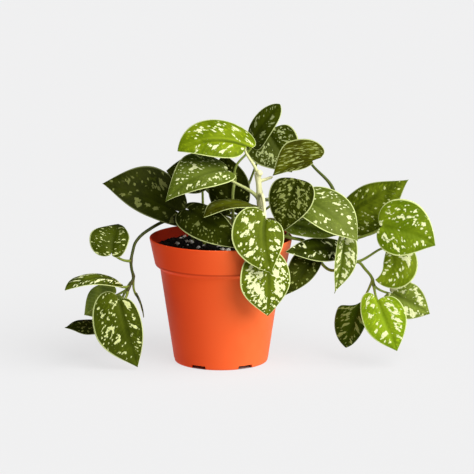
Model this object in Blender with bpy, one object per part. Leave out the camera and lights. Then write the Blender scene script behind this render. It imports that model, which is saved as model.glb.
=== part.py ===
"""A potted philodendron: trailing vines with silver-spotted heart leaves in a nursery pot.

Sizes are millimetres in the tables and are scaled to metres when the meshes are made.
The origin is the centre of the pot's base, +Z is up and -Y is the front.
"""
import math
from dataclasses import dataclass

import bpy
from mathutils import Vector

MM = 0.001
CLEARANCE = 0.3

# Pot
RIM_RADIUS = 60.0
POT_HEIGHT = 106.0
BASE_RADIUS = 39.5
COLLAR_FOOT_HEIGHT = 84.5
COLLAR_FOOT_RADIUS = 55.6
STEP_HEIGHT = 80.0
STEP_RADIUS = 51.3
WALL = 1.35
CHANNEL_HEIGHT = 3.2
FLOOR_THICKNESS = 1.6
PAD_RADIUS = 20.0
FOOT_RING_INNER = 37.2
NOTCH_COUNT = 6
NOTCH_WIDTH = 14.0
NOTCH_HEIGHT = 3.0
NOTCH_DEPTH = 9.0       # of the cutter, through the foot ring
FIRST_NOTCH_DEGREES = 31.5
DRAIN_RADIUS = 3.5
DRAIN_CIRCLE = 30.0
POT_SIDES = 60

# Soil
SOIL_LEVEL = 97.5
SOIL_SIDES = 36
SOIL_RINGS = 8
SOIL_EDGE_DROP = 1.8    # how far the soil sinks where it meets the pot
SOIL_EDGE_WIDTH = 1.5
SOIL_INSET = 0.5        # gap to the pot's side
CLOD_HEIGHT = 0.7
HOLE_BOTTOM = 84.0
DOME = 0.3              # height of a tube's domed end, in radii
HOLE_SIDES = 10

# Leaves and stems
BLADE = 0.8             # thickness of a blade
ROWS = 8
HALF_COLUMNS = 2
SWEEP = 1.8             # how far the rows of a blade sweep from its midrib to the tip
PETIOLE_START = 1.25
PETIOLE_END = 1.0
PETIOLE_REACH = 1.6     # how far a petiole runs under its blade
SHOOT_RADIUS = 1.5
STEM_SIDES = 6
SAMPLE_STEP = 5.5
CURVE_STEPS = 200       # steps in which a curve's length is measured
TAPER = 0.2             # share of a vine's radius lost by its end

COLOURS = {
    "pot": (0.80, 0.13, 0.035),
    "soil": (0.012, 0.009, 0.007),
    "vine": (0.35, 0.40, 0.10),
    "leaf": (0.10, 0.20, 0.03),
}


@dataclass
class Leaf:
    """One blade: where it joins its petiole, where its tip is and which way it faces."""
    name: str
    base: tuple
    tip: tuple
    facing: tuple
    width: float
    bend: float = 25.0      # degrees the midrib turns, arched towards the face
    fold: float = 0.0       # degrees each half rises from the midrib
    curl: float = 0.0       # further degrees between midrib and margin
    left: float = 0.5       # share of the width left of the midrib
    bow: float = 0.0        # degrees the midrib turns sideways, arched to the left
    lobes: float = 0.14     # reach of the lobes behind the petiole, in blade lengths
    skew: float = 0.0       # how much further the left lobe reaches than the right one
    point: float = 0.25     # how drawn out the tip is, from 0 to 1
    lift: float = 60.0      # angle at which the petiole meets the blade


LEAVES = [
    Leaf("leaf_crown", (21.5, -6, 184), (-36, -18, 181.5), (0.0, -0.62, 0.78), 46.5,
         bend=48, curl=-15, left=0.38, bow=-26, lobes=0.05, skew=-0.16, point=0.0),
    Leaf("leaf_under_crown", (5, -12, 165), (-46, -34, 141.5), (-0.25, -0.6, 0.75), 47,
         bend=70, left=0.4, lobes=0.06, point=0.5),
    Leaf("leaf_shade", (-14, 9, 155), (-46, 6, 161), (-0.1, -0.9, 0.3), 32, lift=70),
    Leaf("leaf_left_high", (-38, 8, 127), (-99, -4, 152), (0.25, -0.72, 0.65), 50, bend=35, left=0.38),
    Leaf("leaf_over_soil", (-26, -12, 131), (20, -60.5, 107.4), (-0.45, -0.45, 0.75), 32,
         bend=40, left=0.38),
    Leaf("leaf_low_edge", (25, -18, 137), (-15, -48, 131.2), (0.05, -0.05, 1.0), 32,
         bend=50, left=0.45),
    Leaf("leaf_front_high", (37, -50, 131), (42, -68, 89), (0.15, -0.92, 0.36), 44,
         left=0.38, bow=-35, lobes=0.07, skew=-0.14),
    Leaf("leaf_front_low", (39, -54, 96), (39, -56, 50), (0.42, -0.9, 0.1), 46, left=0.42, lift=15),
    Leaf("leaf_back_centre", (9, 20, 128), (2, 30, 172), (0.0, -0.95, 0.2), 36, lift=5),
    Leaf("leaf_top", (26, 22, 182), (49.5, 19, 215.5), (-0.5, -0.6, 0.6), 29,
         bend=30, left=0.45, lobes=0.06, point=-0.3, lift=10),
    Leaf("leaf_facing", (40, 44, 188), (60, 25, 156), (0.05, -0.9, 0.4), 47,
         fold=12, left=0.42, lobes=0.05, skew=-0.08),
    Leaf("leaf_curled", (76, -4, 171.5), (42.5, -16, 160.5), (-0.1, -0.7, 0.7), 30,
         fold=20, left=0.27, lobes=0.17, skew=-0.36, point=0.5),
    Leaf("leaf_dark_right", (63, -16, 158), (51, -31, 116), (-0.3, -0.9, 0.3), 40, lobes=0.0),
    Leaf("leaf_right_grey", (71, -8, 139), (114, -26, 107), (0.2, -0.6, 0.77), 47,
         bend=50, left=0.54, lift=85),
    Leaf("leaf_hanging", (103, -14, 104), (95, -20, 61), (0.4, -0.9, 0.1), 26,
         fold=35, left=0.5, point=0.6),
    Leaf("leaf_right_high", (106, 10, 123), (157, -2, 155), (0.1, -0.85, 0.5), 42,
         bend=30, left=0.34, lobes=0.08, point=0.45, lift=50),
    Leaf("leaf_right_round", (134, -24, 119), (178, -30, 104), (0.05, -0.96, 0.25), 48,
         left=0.545, bow=25, lobes=0.08),
    Leaf("leaf_right_curled", (142, -17, 97.5), (128.5, -22, 73.5), (0.1, -0.98, 0.1), 30,
         left=0.71, bow=115, lobes=0.06, lift=30),
    Leaf("leaf_right_low", (131, -26, 56), (147, -34, 15), (0.05, -0.98, 0.15), 37,
         lobes=0.12, skew=-0.16),
    Leaf("leaf_right_low_dark", (117, -10, 51), (105, -10, 12), (-0.3, -0.95, 0.1), 28,
         left=0.38, lobes=0.03, skew=0.3, point=-0.1),
    Leaf("leaf_far_right", (145, -1, 57), (176, -8, 41), (0.1, -0.95, 0.2), 32),
    Leaf("leaf_right_under", (60, -8, 118), (98, -11, 109), (0.0, -0.6, 0.8), 26, left=0.52),
    Leaf("leaf_right_middle", (97, -5, 97.5), (53, -37, 100.5), (0.3, -0.75, 0.6), 23,
         bend=15, left=0.55, lift=30),
    Leaf("leaf_right_deep", (80, -10, 92), (53, -32, 62), (0.35, -0.85, 0.4), 25,
         left=0.38, lobes=0.08, lift=15),
    Leaf("leaf_left_sliver", (-70.5, -10, 59), (-64.5, -12, 38.5), (0.98, 0.05, 0.1), 13,
         lobes=0.05, lift=0),
    Leaf("leaf_left_upper", (-91, -16, 96), (-86, 14, 114), (0.0, -0.5, 0.85), 34,
         bend=80, left=0.61, lobes=0.1, point=0.5),
    Leaf("leaf_left_arched", (-86, -20, 72), (-129, -44, 69.5), (-0.2, -0.35, 0.9), 30,
         bend=65, curl=-30, left=0.36, lobes=0.08, point=0.1),
    Leaf("leaf_left_low", (-84, -34, 57), (-69, -40, 2.6), (-0.05, -0.99, 0.1), 41,
         left=0.34, lobes=0.11, skew=-0.14),
    Leaf("leaf_left_behind", (-90, -9, 58), (-115, -12, 41), (0.2, 0.9, 0.3), 30),
    Leaf("leaf_left_far", (-101, 2, 28), (-132, -6, 29), (-0.1, -0.45, 0.88), 22, left=0.57),
    Leaf("leaf_back_left", (-32, 42, 121), (-60, 68, 136), (0.2, 0.6, 0.75), 42, bend=35),
    Leaf("leaf_back_high", (6, 46, 146), (-8, 86, 124), (0.0, 0.55, 0.85), 44, bend=45),
    Leaf("leaf_back_right", (44, 42, 132), (84, 66, 116), (0.2, 0.5, 0.85), 42, bend=35),
    Leaf("leaf_back_low_left", (-6, 66, 108), (-22, 84, 66), (-0.1, 0.95, 0.3), 42, bend=20, lift=15),
    Leaf("leaf_back_low_right", (36, 66, 104), (46, 82, 64), (0.2, 0.95, 0.2), 40, bend=20, lift=15),
]


def unit(vector):
    return Vector(vector).normalized()


def bezier(a, b, c, d, t):
    """A point on the cubic curve from a to d with the handles b and c."""
    s = 1.0 - t
    return a * s ** 3 + b * 3 * s * s * t + c * 3 * s * t * t + d * t ** 3


def margin(s, lobes, point):
    """The blade's edge from the sinus (s = 0) round the lobe to the tip (s = 1)."""
    sinus = Vector((-0.7 * max(lobes, 0.0), 0.07))
    widest = Vector((0.33, 1.0))
    if s < 0.5:
        return bezier(sinus, Vector((-1.9 * lobes, 0.42)), Vector((-0.5 * lobes, 1.0)), widest, 2 * s)
    shoulder = Vector((0.7 - 0.25 * point, 1.0))
    neck = Vector((0.9 - 0.2 * point, 0.4 - 0.32 * point))
    return bezier(widest, shoulder, neck, Vector((1.0, 0.0)), 2 * s - 1)


def bent(along, off, turn, length):
    """Where a point along and off a straight line goes when the line is bent to an arc."""
    if not turn:
        return along, off
    heading = turn * (0.5 - along / length)
    radius = length / turn
    x = radius * (math.sin(turn / 2) - math.sin(heading)) - off * math.sin(heading)
    y = radius * (math.cos(heading) - math.cos(turn / 2)) + off * math.cos(heading)
    return x, y


def arc_length(chord, turn):
    """Length of the arc that turns by an angle over a chord."""
    return chord * (turn / 2) / math.sin(turn / 2) if turn else chord


class BladeFrame:
    """Bends flat blade coordinates (distance along, distance across) into place."""

    def __init__(self, leaf):
        self.leaf = leaf
        self.base = Vector(leaf.base)
        chord = Vector(leaf.tip) - self.base
        self.ahead = chord.normalized()
        facing = Vector(leaf.facing)
        self.up = (facing - self.ahead * facing.dot(self.ahead)).normalized()
        self.side = self.up.cross(self.ahead)
        self.turn = math.radians(leaf.bend)
        self.bow = math.radians(leaf.bow)
        self.span = arc_length(chord.length, self.turn)
        self.length = arc_length(self.span, self.bow)

    def half_width(self, sign):
        share = self.leaf.left if sign > 0 else 1.0 - self.leaf.left
        return self.leaf.width * share

    def edge(self, s, sign):
        """The margin of one half as (distance along in blade lengths, distance across)."""
        reach = self.leaf.lobes + 0.5 * sign * self.leaf.skew
        point = margin(s, reach, self.leaf.point)
        return point.x, point.y * sign * self.half_width(sign)

    def place(self, along, across):
        """along is in blade lengths, across in millimetres, left of the midrib positive."""
        sign = 1.0 if across >= 0 else -1.0
        share = abs(across) / self.half_width(sign)
        rise = math.radians(self.leaf.fold + 0.5 * self.leaf.curl * share)
        x, out = bent(along * self.length, across * math.cos(rise), self.bow, self.length)
        x, height = bent(x, abs(across) * math.sin(rise), self.turn, self.span)
        return self.base + self.ahead * x + self.side * out + self.up * height

    def seat(self):
        """Centre of the petiole's round end, just clear of the blade's underside."""
        drop = BLADE / 2 + PETIOLE_END + CLEARANCE
        heading = self.turn / 2
        climb = self.ahead * math.cos(heading) + self.up * math.sin(heading)
        ahead = climb * math.cos(self.bow / 2) + self.side * math.sin(self.bow / 2)
        normal = self.up * math.cos(heading) - self.ahead * math.sin(heading)
        centre = self.base + ahead * PETIOLE_REACH - normal * drop
        lift = math.radians(self.leaf.lift)
        arrival = ahead * math.cos(lift) + normal * math.sin(lift)
        return centre, arrival


def clear_scene():
    for item in list(bpy.data.objects):
        bpy.data.objects.remove(item, do_unlink=True)


def material(name, colour, roughness):
    made = bpy.data.materials.new(name)
    made.use_nodes = True
    shader = made.node_tree.nodes["Principled BSDF"]
    shader.inputs["Base Color"].default_value = (*colour, 1.0)
    shader.inputs["Roughness"].default_value = roughness
    shader.inputs["Metallic"].default_value = 0.0
    made.diffuse_color = (*colour, 1.0)
    return made


def add_object(name, points, faces, look=None):
    """A mesh object from millimetre points."""
    mesh = bpy.data.meshes.new(name)
    mesh.from_pydata([Vector(point) * MM for point in points], [], faces)
    mesh.update()
    item = bpy.data.objects.new(name, mesh)
    bpy.context.scene.collection.objects.link(item)
    if look:
        mesh.materials.append(look)
    return item


def apply_boolean(target, tools, operation):
    """Joins or cuts with every object of a list at once, then removes them."""
    group = bpy.data.collections.new(target.name + "_tools")
    bpy.context.scene.collection.children.link(group)
    for tool in tools:
        bpy.context.scene.collection.objects.unlink(tool)
        group.objects.link(tool)
    step = target.modifiers.new("join", "BOOLEAN")
    step.operation = operation
    step.operand_type = "COLLECTION"
    step.collection = group
    step.solver = "EXACT"
    depsgraph = bpy.context.evaluated_depsgraph_get()
    result = bpy.data.meshes.new_from_object(target.evaluated_get(depsgraph))
    target.modifiers.remove(step)
    target.data = result
    for tool in tools:
        bpy.data.objects.remove(tool, do_unlink=True)
    bpy.data.collections.remove(group)


def turned(name, profile, sides, look=None, height_at=None):
    """A body turned round Z from (radius, height) pairs that start and end on the axis.

    height_at gives each point its height, where it isn't the same all the way round.
    """
    points = []
    rings = []
    for radius, height in profile:
        if radius == 0:
            rings.append([len(points)] * sides)
            points.append((0, 0, height))
            continue
        ring = []
        for step in range(sides):
            angle = 2 * math.pi * step / sides
            ring.append(len(points))
            points.append((radius * math.cos(angle), radius * math.sin(angle), height))
        rings.append(ring)
    faces = []
    for lower, upper in zip(rings, rings[1:]):
        for step in range(sides):
            following = (step + 1) % sides
            corners = [lower[step], lower[following], upper[following], upper[step]]
            faces.append(list(dict.fromkeys(corners)))
    if height_at:
        points = [(x, y, height_at(x, y, z)) for x, y, z in points]
    return add_object(name, points, faces, look)


def box(name, centre, size, turn):
    """A plain block turned about Z, used as a cutter."""
    points = []
    for x in (-0.5, 0.5):
        for y in (-0.5, 0.5):
            for z in (-0.5, 0.5):
                away = x * size[0]
                along = y * size[1]
                points.append((centre[0] + away * math.cos(turn) - along * math.sin(turn),
                               centre[1] + away * math.sin(turn) + along * math.cos(turn),
                               centre[2] + z * size[2]))
    faces = [(0, 1, 3, 2), (4, 6, 7, 5), (0, 4, 5, 1), (2, 3, 7, 6), (0, 2, 6, 4), (1, 5, 7, 3)]
    return add_object(name, points, faces)


def cylinder(name, x, y, radius, bottom, top, sides):
    item = turned(name, [(0, bottom), (radius, bottom), (radius, top), (0, top)], sides)
    for vertex in item.data.vertices:
        vertex.co.x += x * MM
        vertex.co.y += y * MM
    return item


def outer_radius(height):
    """The wall's outside below the step."""
    return BASE_RADIUS + (STEP_RADIUS - BASE_RADIUS) * height / STEP_HEIGHT


def inner_wall():
    """The pot's inside as (radius, height) pairs, from the floor's corner to the top of the collar."""
    floor = CHANNEL_HEIGHT + FLOOR_THICKNESS
    return [
        (outer_radius(floor) - WALL - 1.6, floor),
        (outer_radius(floor + 2.5) - WALL, floor + 2.5),
        (STEP_RADIUS - WALL, STEP_HEIGHT + 0.6),
        (STEP_RADIUS + 0.9 - WALL, STEP_HEIGHT + 2.6),
        (COLLAR_FOOT_RADIUS + 0.2 - WALL, COLLAR_FOOT_HEIGHT + 0.9),
        (RIM_RADIUS - WALL, POT_HEIGHT - 0.4),
    ]


def pot_profile():
    outside = [
        (0, 0),
        (PAD_RADIUS, 0),
        (PAD_RADIUS + 1.2, CHANNEL_HEIGHT),
        (FOOT_RING_INNER - 0.6, CHANNEL_HEIGHT),
        (FOOT_RING_INNER, 0),
        (BASE_RADIUS - 0.8, 0),
        (BASE_RADIUS - 0.1, 0.4),
        (outer_radius(1.5), 1.5),
        (STEP_RADIUS, STEP_HEIGHT),
        (STEP_RADIUS + 0.9, STEP_HEIGHT + 0.9),
        (COLLAR_FOOT_RADIUS - 1.1, STEP_HEIGHT + 2.3),
        (COLLAR_FOOT_RADIUS - 0.2, COLLAR_FOOT_HEIGHT - 1.0),
        (COLLAR_FOOT_RADIUS + 0.2, COLLAR_FOOT_HEIGHT + 0.6),
        (RIM_RADIUS, POT_HEIGHT - 0.7),
        (RIM_RADIUS - 0.3, POT_HEIGHT - 0.1),
        (RIM_RADIUS - 0.7, POT_HEIGHT),
    ]
    floor = [
        (PAD_RADIUS + 1.6, CHANNEL_HEIGHT + FLOOR_THICKNESS),
        (PAD_RADIUS, FLOOR_THICKNESS),
        (0, FLOOR_THICKNESS),
    ]
    return outside + inner_wall()[::-1] + floor


def notch_angles():
    """Directions of the drain notches, measured at the axis from +X."""
    first = FIRST_NOTCH_DEGREES - 90
    return [math.radians(first + 360 / NOTCH_COUNT * step) for step in range(NOTCH_COUNT)]


def make_pot():
    pot = turned("pot", pot_profile(), POT_SIDES, material("pot_plastic", COLOURS["pot"], 0.45))
    cutters = []
    for number, angle in enumerate(notch_angles()):
        centre = (BASE_RADIUS * math.cos(angle), BASE_RADIUS * math.sin(angle), NOTCH_HEIGHT / 2 - 1)
        size = (NOTCH_DEPTH, NOTCH_WIDTH, NOTCH_HEIGHT + 2)
        cutters.append(box("notch_%d" % number, centre, size, angle))
        x = DRAIN_CIRCLE * math.cos(angle)
        y = DRAIN_CIRCLE * math.sin(angle)
        cutters.append(cylinder("drain_%d" % number, x, y, DRAIN_RADIUS, 2.0, 6.0, HOLE_SIDES))
    apply_boolean(pot, cutters, "DIFFERENCE")
    pot.data.shade_smooth()
    pot.data.set_sharp_from_angle(angle=math.radians(35))
    return pot


@dataclass
class Petiole:
    """A leaf stalk: the leaf it carries, where it leaves its vine and in which direction."""
    leaf: str
    start: float            # position among the vine's points, such as 3.5
    leaving: tuple = (0, 0, 1)
    slack: float = 0.4      # length of the curve's handles, as a share of the span
    foot: float = 1.0       # how much thicker its foot is than usual


@dataclass
class Vine:
    """A stem that stands in the soil, passes its points and carries its petioles."""
    name: str
    radius: float
    points: list
    petioles: list
    shoots: tuple = ()      # bare young shoots: where each starts on the stem, and its end


VINES = [
    Vine("vine_centre", 2.9,
         [(34, 2), (34, 1, 106), (33.5, -3, 120), (33, -6, 134), (32, -6, 148), (30.5, -5, 162)],
         [Petiole("leaf_crown", 4.8, (-0.2, 0, 1), foot=1.3),
          Petiole("leaf_under_crown", 3.2, (-0.5, 0, 1), foot=1.5),
          Petiole("leaf_low_edge", 2.4, (0, -0.6, 0.4)),
          Petiole("leaf_front_high", 3.6, (0.2, -0.8, 0.3), foot=1.5)],
         shoots=[(4.4, (43.5, -4, 157.5))]),
    Vine("vine_back_centre", 1.6,
         [(10, 10), (10, 10, 106), (10, 6, 116), (10, 4, 128), (10, 5, 142), (12, 9, 153)],
         [Petiole("leaf_top", 5.0, (-0.2, -0.1, 1), 0.5),
          Petiole("leaf_back_centre", 1.4, (0, 1, 0), 0.6)]),
    Vine("vine_left_mouth", 1.6,
         [(-14, 4), (-14, 4, 106), (-15, 2, 116), (-15, 0, 126)],
         [Petiole("leaf_shade", 3.0, (0, 0.7, 1)),
          Petiole("leaf_over_soil", 2.0, (-0.5, -0.6, 0.6)),
          Petiole("leaf_left_high", 1.6, (-0.8, 0.4, 0.4))]),
    Vine("vine_left", 1.5,
         [(-24, 14), (-25, 13, 106), (-33, 10, 115), (-42, 7, 118.5), (-50, 7, 116.5), (-59.5, 2, 112),
          (-66.5, -2, 107.5), (-71.5, -6, 102), (-73.5, -9, 96), (-75, -14, 88), (-74.5, -15, 81),
          (-73, -16, 74), (-76, -19, 68), (-78, -22, 63.5)],
         [Petiole("leaf_left_upper", 9.0, (-0.8, -0.2, -0.1)),
          Petiole("leaf_left_arched", 12.2, (-0.9, -0.2, -0.1)),
          Petiole("leaf_left_low", 13.0, (0.1, -0.3, -1)),
          Petiole("leaf_left_behind", 12.6, (-0.7, 0.5, -0.4)),
          Petiole("leaf_left_far", 11.6, (-0.3, 1, -0.3), 0.5),
          Petiole("leaf_left_sliver", 10.8, (0, 0.3, -1))]),
    Vine("vine_right", 1.7,
         [(46, 8), (47, 8, 106), (54, 8, 116), (66, 8, 123), (80, 9, 128), (94, 9, 129), (105, 5, 123),
          (111, 0, 113), (113, -3, 105)],
         [Petiole("leaf_curled", 5.0, (0.3, -0.2, 1), 0.5, foot=1.6),
          Petiole("leaf_dark_right", 2.0, (0, -0.4, 1)),
          Petiole("leaf_right_grey", 2.4, (0.2, -0.4, 0.8)),
          Petiole("leaf_right_high", 4.4, (0.5, 1, 0.1)),
          Petiole("leaf_right_round", 8.0, (0.7, -0.4, 0.2)),
          Petiole("leaf_hanging", 7.6, (-0.2, 0.2, -0.4))]),
    Vine("vine_right_low", 1.5,
         [(44, -18), (44, -18, 105), (51, -18, 109.5), (60.5, -15.5, 107.5), (70, -6, 103), (79, 7, 92),
          (86, 8, 80), (93, 4, 76), (101, -3, 79), (108, -7, 83), (115, -9, 86), (121, -11, 80),
          (126, -13, 74), (128, -15, 67)],
         [Petiole("leaf_right_under", 2.5, (-0.2, 0.6, 0.5)),
          Petiole("leaf_right_middle", 3.8, (0.7, -0.4, -0.2)),
          Petiole("leaf_right_deep", 4.2, (0.1, -0.2, 1)),
          Petiole("leaf_right_curled", 9.6, (0.9, -0.1, 0.2), 0.45),
          Petiole("leaf_right_low", 13.0, (0.1, -0.1, -1)),
          Petiole("leaf_right_low_dark", 12.4, (-0.4, 0.3, -1)),
          Petiole("leaf_far_right", 12.9, (0.3, 0.9, -0.6), 0.6)]),
    Vine("vine_front", 1.5,
         [(28, -26), (29, -27, 106), (33, -37, 111), (37, -47, 111.5), (39, -52, 109)],
         [Petiole("leaf_front_low", 4.0, (0.1, -0.3, -1))]),
    Vine("vine_back", 1.7,
         [(14, 32), (14, 32, 106), (15, 35, 116), (16, 38, 128)],
         [Petiole("leaf_back_left", 2.0, (-0.8, 0.2, 0.3)),
          Petiole("leaf_back_high", 3.0, (0, 0.1, 1)),
          Petiole("leaf_back_right", 1.7, (0.8, 0.4, 0.4)),
          Petiole("leaf_facing", 2.8, (0.5, 0.3, 1)),
          Petiole("leaf_back_low_left", 1.4, (-0.3, 0.8, 0.6)),
          Petiole("leaf_back_low_right", 1.6, (0.4, 0.8, 0.6))]),
]


def path_point(points, position):
    """A point on the smooth curve through the points (Catmull-Rom)."""
    last = len(points) - 1
    index = min(int(position), last - 1)
    t = position - index
    near = points[index]
    far = points[index + 1]
    before = points[index - 1] if index else near * 2 - far
    beyond = points[index + 2] if index + 2 <= last else far * 2 - near
    return 0.5 * (2 * near + (far - before) * t
                  + (2 * before - 5 * near + 4 * far - beyond) * t ** 2
                  + (3 * near - before - 3 * far + beyond) * t ** 3)


def even_samples(curve, start, end, step):
    """Points of a curve function at about the same distance from each other."""
    last = CURVE_STEPS
    fine = [curve(start + (end - start) * k / last) for k in range(last + 1)]
    travelled = [0.0]
    for near, far in zip(fine, fine[1:]):
        travelled.append(travelled[-1] + (far - near).length)
    count = max(3, round(travelled[-1] / step))
    chosen = []
    k = 0
    for number in range(count + 1):
        goal = travelled[-1] * number / count
        while k < last and travelled[k] < goal - 1e-9:
            k += 1
        chosen.append(fine[k])
    return chosen


def tube(name, path, radii, look=None):
    """A closed tube along a path, with a low dome on each end."""
    stations = len(path)
    points = []
    side = None
    for k, centre in enumerate(path):
        ahead = (path[min(k + 1, stations - 1)] - path[max(k - 1, 0)]).normalized()
        if side is None:
            side = ahead.orthogonal().normalized()
        side = (side - ahead * side.dot(ahead)).normalized()
        other = ahead.cross(side)
        for step in range(STEM_SIDES):
            angle = 2 * math.pi * step / STEM_SIDES
            points.append(centre + (side * math.cos(angle) + other * math.sin(angle)) * radii[k])
    faces = []
    for k in range(stations - 1):
        for step in range(STEM_SIDES):
            following = (step + 1) % STEM_SIDES
            low = k * STEM_SIDES
            high = low + STEM_SIDES
            faces.append((low + step, low + following, high + following, high + step))
    first = len(points)
    points.append(path[0] - (path[1] - path[0]).normalized() * radii[0] * DOME)
    points.append(path[-1] + (path[-1] - path[-2]).normalized() * radii[-1] * DOME)
    top = (stations - 1) * STEM_SIDES
    for step in range(STEM_SIDES):
        following = (step + 1) % STEM_SIDES
        faces.append((first, following, step))
        faces.append((first + 1, top + step, top + following))
    return add_object(name, points, faces, look)


def vine_path(vine):
    """The vine's points, with its straight root in the soil."""
    x, y = vine.points[0]
    root_end = HOLE_BOTTOM + CLEARANCE + DOME * vine.radius
    root = [Vector((x, y, root_end)), Vector((x, y, SOIL_LEVEL + 2.0))]
    return root + [Vector(point) for point in vine.points[1:]]


def petiole_path(points, petiole, leaf):
    centre, arrival = BladeFrame(leaf).seat()
    start = path_point(points, petiole.start + 1)
    reach = (centre - start).length * petiole.slack
    first_handle = start + unit(petiole.leaving) * reach
    last_handle = centre - arrival * reach
    return even_samples(lambda t: bezier(start, first_handle, last_handle, centre, t), 0, 1, SAMPLE_STEP)


def make_vine(vine, look):
    points = vine_path(vine)
    path = even_samples(lambda t: path_point(points, t), 0, len(points) - 1, SAMPLE_STEP)
    radii = [vine.radius * (1.0 - TAPER * k / len(path)) for k in range(len(path))]
    stem = tube(vine.name, path, radii, look)
    leaves = {leaf.name: leaf for leaf in LEAVES}
    stalks = []
    for petiole in vine.petioles:
        stalk_path = petiole_path(points, petiole, leaves[petiole.leaf])
        last = len(stalk_path) - 1
        foot = PETIOLE_START * petiole.foot
        widths = [foot + (PETIOLE_END - foot) * k / last for k in range(last + 1)]
        stalks.append(tube("stalk_" + petiole.leaf, stalk_path, widths))
    for start, end in vine.shoots:
        shoot_path = [path_point(points, start + 1).lerp(Vector(end), k / 3) for k in range(4)]
        stalks.append(tube("shoot", shoot_path, [SHOOT_RADIUS] * 4))
    apply_boolean(stem, stalks, "UNION")
    stem.data.shade_smooth()
    return stem


def blade_points(leaf):
    """Rows of points across the blade, from the sinus edges to the tip."""
    frame = BladeFrame(leaf)
    rows = []
    for row in range(ROWS):
        s = row / ROWS
        middle = s ** SWEEP
        points = []
        for column in range(-HALF_COLUMNS, HALF_COLUMNS + 1):
            u = abs(column) / HALF_COLUMNS
            edge, reach = frame.edge(s, 1.0 if column > 0 else -1.0)
            points.append(frame.place(middle + (edge - middle) * u, reach * u))
        rows.append(points)
    rows.append([Vector(leaf.tip)])
    return rows


def make_leaf(leaf, look):
    """A blade of even thickness with the same triangles on both faces."""
    rows = blade_points(leaf)
    columns = 2 * HALF_COLUMNS + 1
    flat = [point for row in rows for point in row]
    tip = len(flat) - 1
    triangles = []
    for row in range(ROWS - 1):
        for column in range(columns - 1):
            a = row * columns + column
            b, c, d = a + 1, a + columns + 1, a + columns
            if column < HALF_COLUMNS:
                triangles += [(a, b, c), (a, c, d)]
            else:
                triangles += [(a, b, d), (b, c, d)]
    last_row = (ROWS - 1) * columns
    for column in range(columns - 1):
        triangles.append((last_row + column, last_row + column + 1, tip))
    normals = [Vector() for _ in flat]
    for a, b, c in triangles:
        slope = (flat[b] - flat[a]).cross(flat[c] - flat[a])
        for corner in (a, b, c):
            normals[corner] += slope
    offsets = [normal.normalized() * BLADE / 2 for normal in normals]
    count = len(flat)
    points = [point + offset for point, offset in zip(flat, offsets)]
    points += [point - offset for point, offset in zip(flat, offsets)]
    edges = set()
    for a, b, c in triangles:
        edges.update(((a, b), (b, c), (c, a)))
    faces = list(triangles)
    faces += [(c + count, b + count, a + count) for a, b, c in triangles]
    for a, b in sorted(edges):
        if (b, a) not in edges:
            faces += [(b, a, a + count), (b, a + count, b + count)]
    item = add_object(leaf.name, points, faces, look)
    item.data.shade_smooth()
    item.data.set_sharp_from_angle(angle=math.radians(50))
    return item


def soil_height(x, y, level):
    """Gentle clods over the top of the soil; its lower edges stay level."""
    if level < SOIL_LEVEL:
        return level
    clods = math.sin(0.31 * x + 1.0) * math.cos(0.27 * y) + 0.6 * math.sin(0.52 * y + 0.4 * x)
    return level + CLOD_HEIGHT * clods


def make_soil(look):
    """The peat that fills the pot, with a plain hole for each vine."""
    wall = inner_wall()
    profile = [(0, wall[0][1] + CLEARANCE)]
    profile += [(radius - SOIL_INSET, height + CLEARANCE) for radius, height in wall[:-1]]
    (low_radius, low_height), (high_radius, high_height) = wall[-2:]
    edge_height = SOIL_LEVEL - SOIL_EDGE_DROP
    share = (edge_height - low_height) / (high_height - low_height)
    edge = low_radius + (high_radius - low_radius) * share - SOIL_INSET
    profile.append((edge, edge_height))
    for ring in range(SOIL_RINGS):
        profile.append(((edge - SOIL_EDGE_WIDTH) * (1 - ring / SOIL_RINGS), SOIL_LEVEL))
    profile.append((0, SOIL_LEVEL))
    soil = turned("soil", profile, SOIL_SIDES, look, soil_height)
    holes = []
    for vine in VINES:
        x, y = vine.points[0]
        radius = (vine.radius + CLEARANCE) / math.cos(math.pi / HOLE_SIDES)
        holes.append(cylinder("hole_" + vine.name, x, y, radius, HOLE_BOTTOM, SOIL_LEVEL + 4, HOLE_SIDES))
    apply_boolean(soil, holes, "DIFFERENCE")
    return soil


def main():
    clear_scene()
    make_pot()
    make_soil(material("peat", COLOURS["soil"], 0.95))
    vine_look = material("vine_green", COLOURS["vine"], 0.45)
    for vine in VINES:
        make_vine(vine, vine_look)
    leaf_look = material("leaf_green", COLOURS["leaf"], 0.4)
    for leaf in LEAVES:
        make_leaf(leaf, leaf_look)


main()
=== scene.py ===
"""Dresses the potted philodendron: spotted leaves, stems, pot, soil and a plain studio.

Lengths in the tables are millimetres. The origin is the centre of the pot's base, +Z is up
and -Y is the front.
"""
import math
import random
from dataclasses import dataclass

import bpy
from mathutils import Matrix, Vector


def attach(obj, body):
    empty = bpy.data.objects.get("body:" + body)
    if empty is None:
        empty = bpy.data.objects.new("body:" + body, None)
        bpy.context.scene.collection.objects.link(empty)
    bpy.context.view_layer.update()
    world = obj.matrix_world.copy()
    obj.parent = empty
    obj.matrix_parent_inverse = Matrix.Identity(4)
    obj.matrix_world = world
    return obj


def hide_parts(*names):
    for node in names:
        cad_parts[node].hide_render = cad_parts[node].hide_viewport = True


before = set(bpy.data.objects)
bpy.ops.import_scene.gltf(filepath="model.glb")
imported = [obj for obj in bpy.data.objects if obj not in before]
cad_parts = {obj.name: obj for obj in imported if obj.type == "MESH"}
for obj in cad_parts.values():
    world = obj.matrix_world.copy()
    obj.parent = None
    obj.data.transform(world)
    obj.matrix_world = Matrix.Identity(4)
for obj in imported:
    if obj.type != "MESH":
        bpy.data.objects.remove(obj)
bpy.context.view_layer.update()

bl_info = {
    "name": "Potted Philodendron",
    "version": (1, 0, 0),
    "blender": (4, 5, 0),
    "location": "3D View > Sidebar > Plant",
    "description": "Builds the leaves, stems, pot, soil and studio of a potted philodendron",
    "category": "Add Mesh",
}

MM = 0.001

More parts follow.
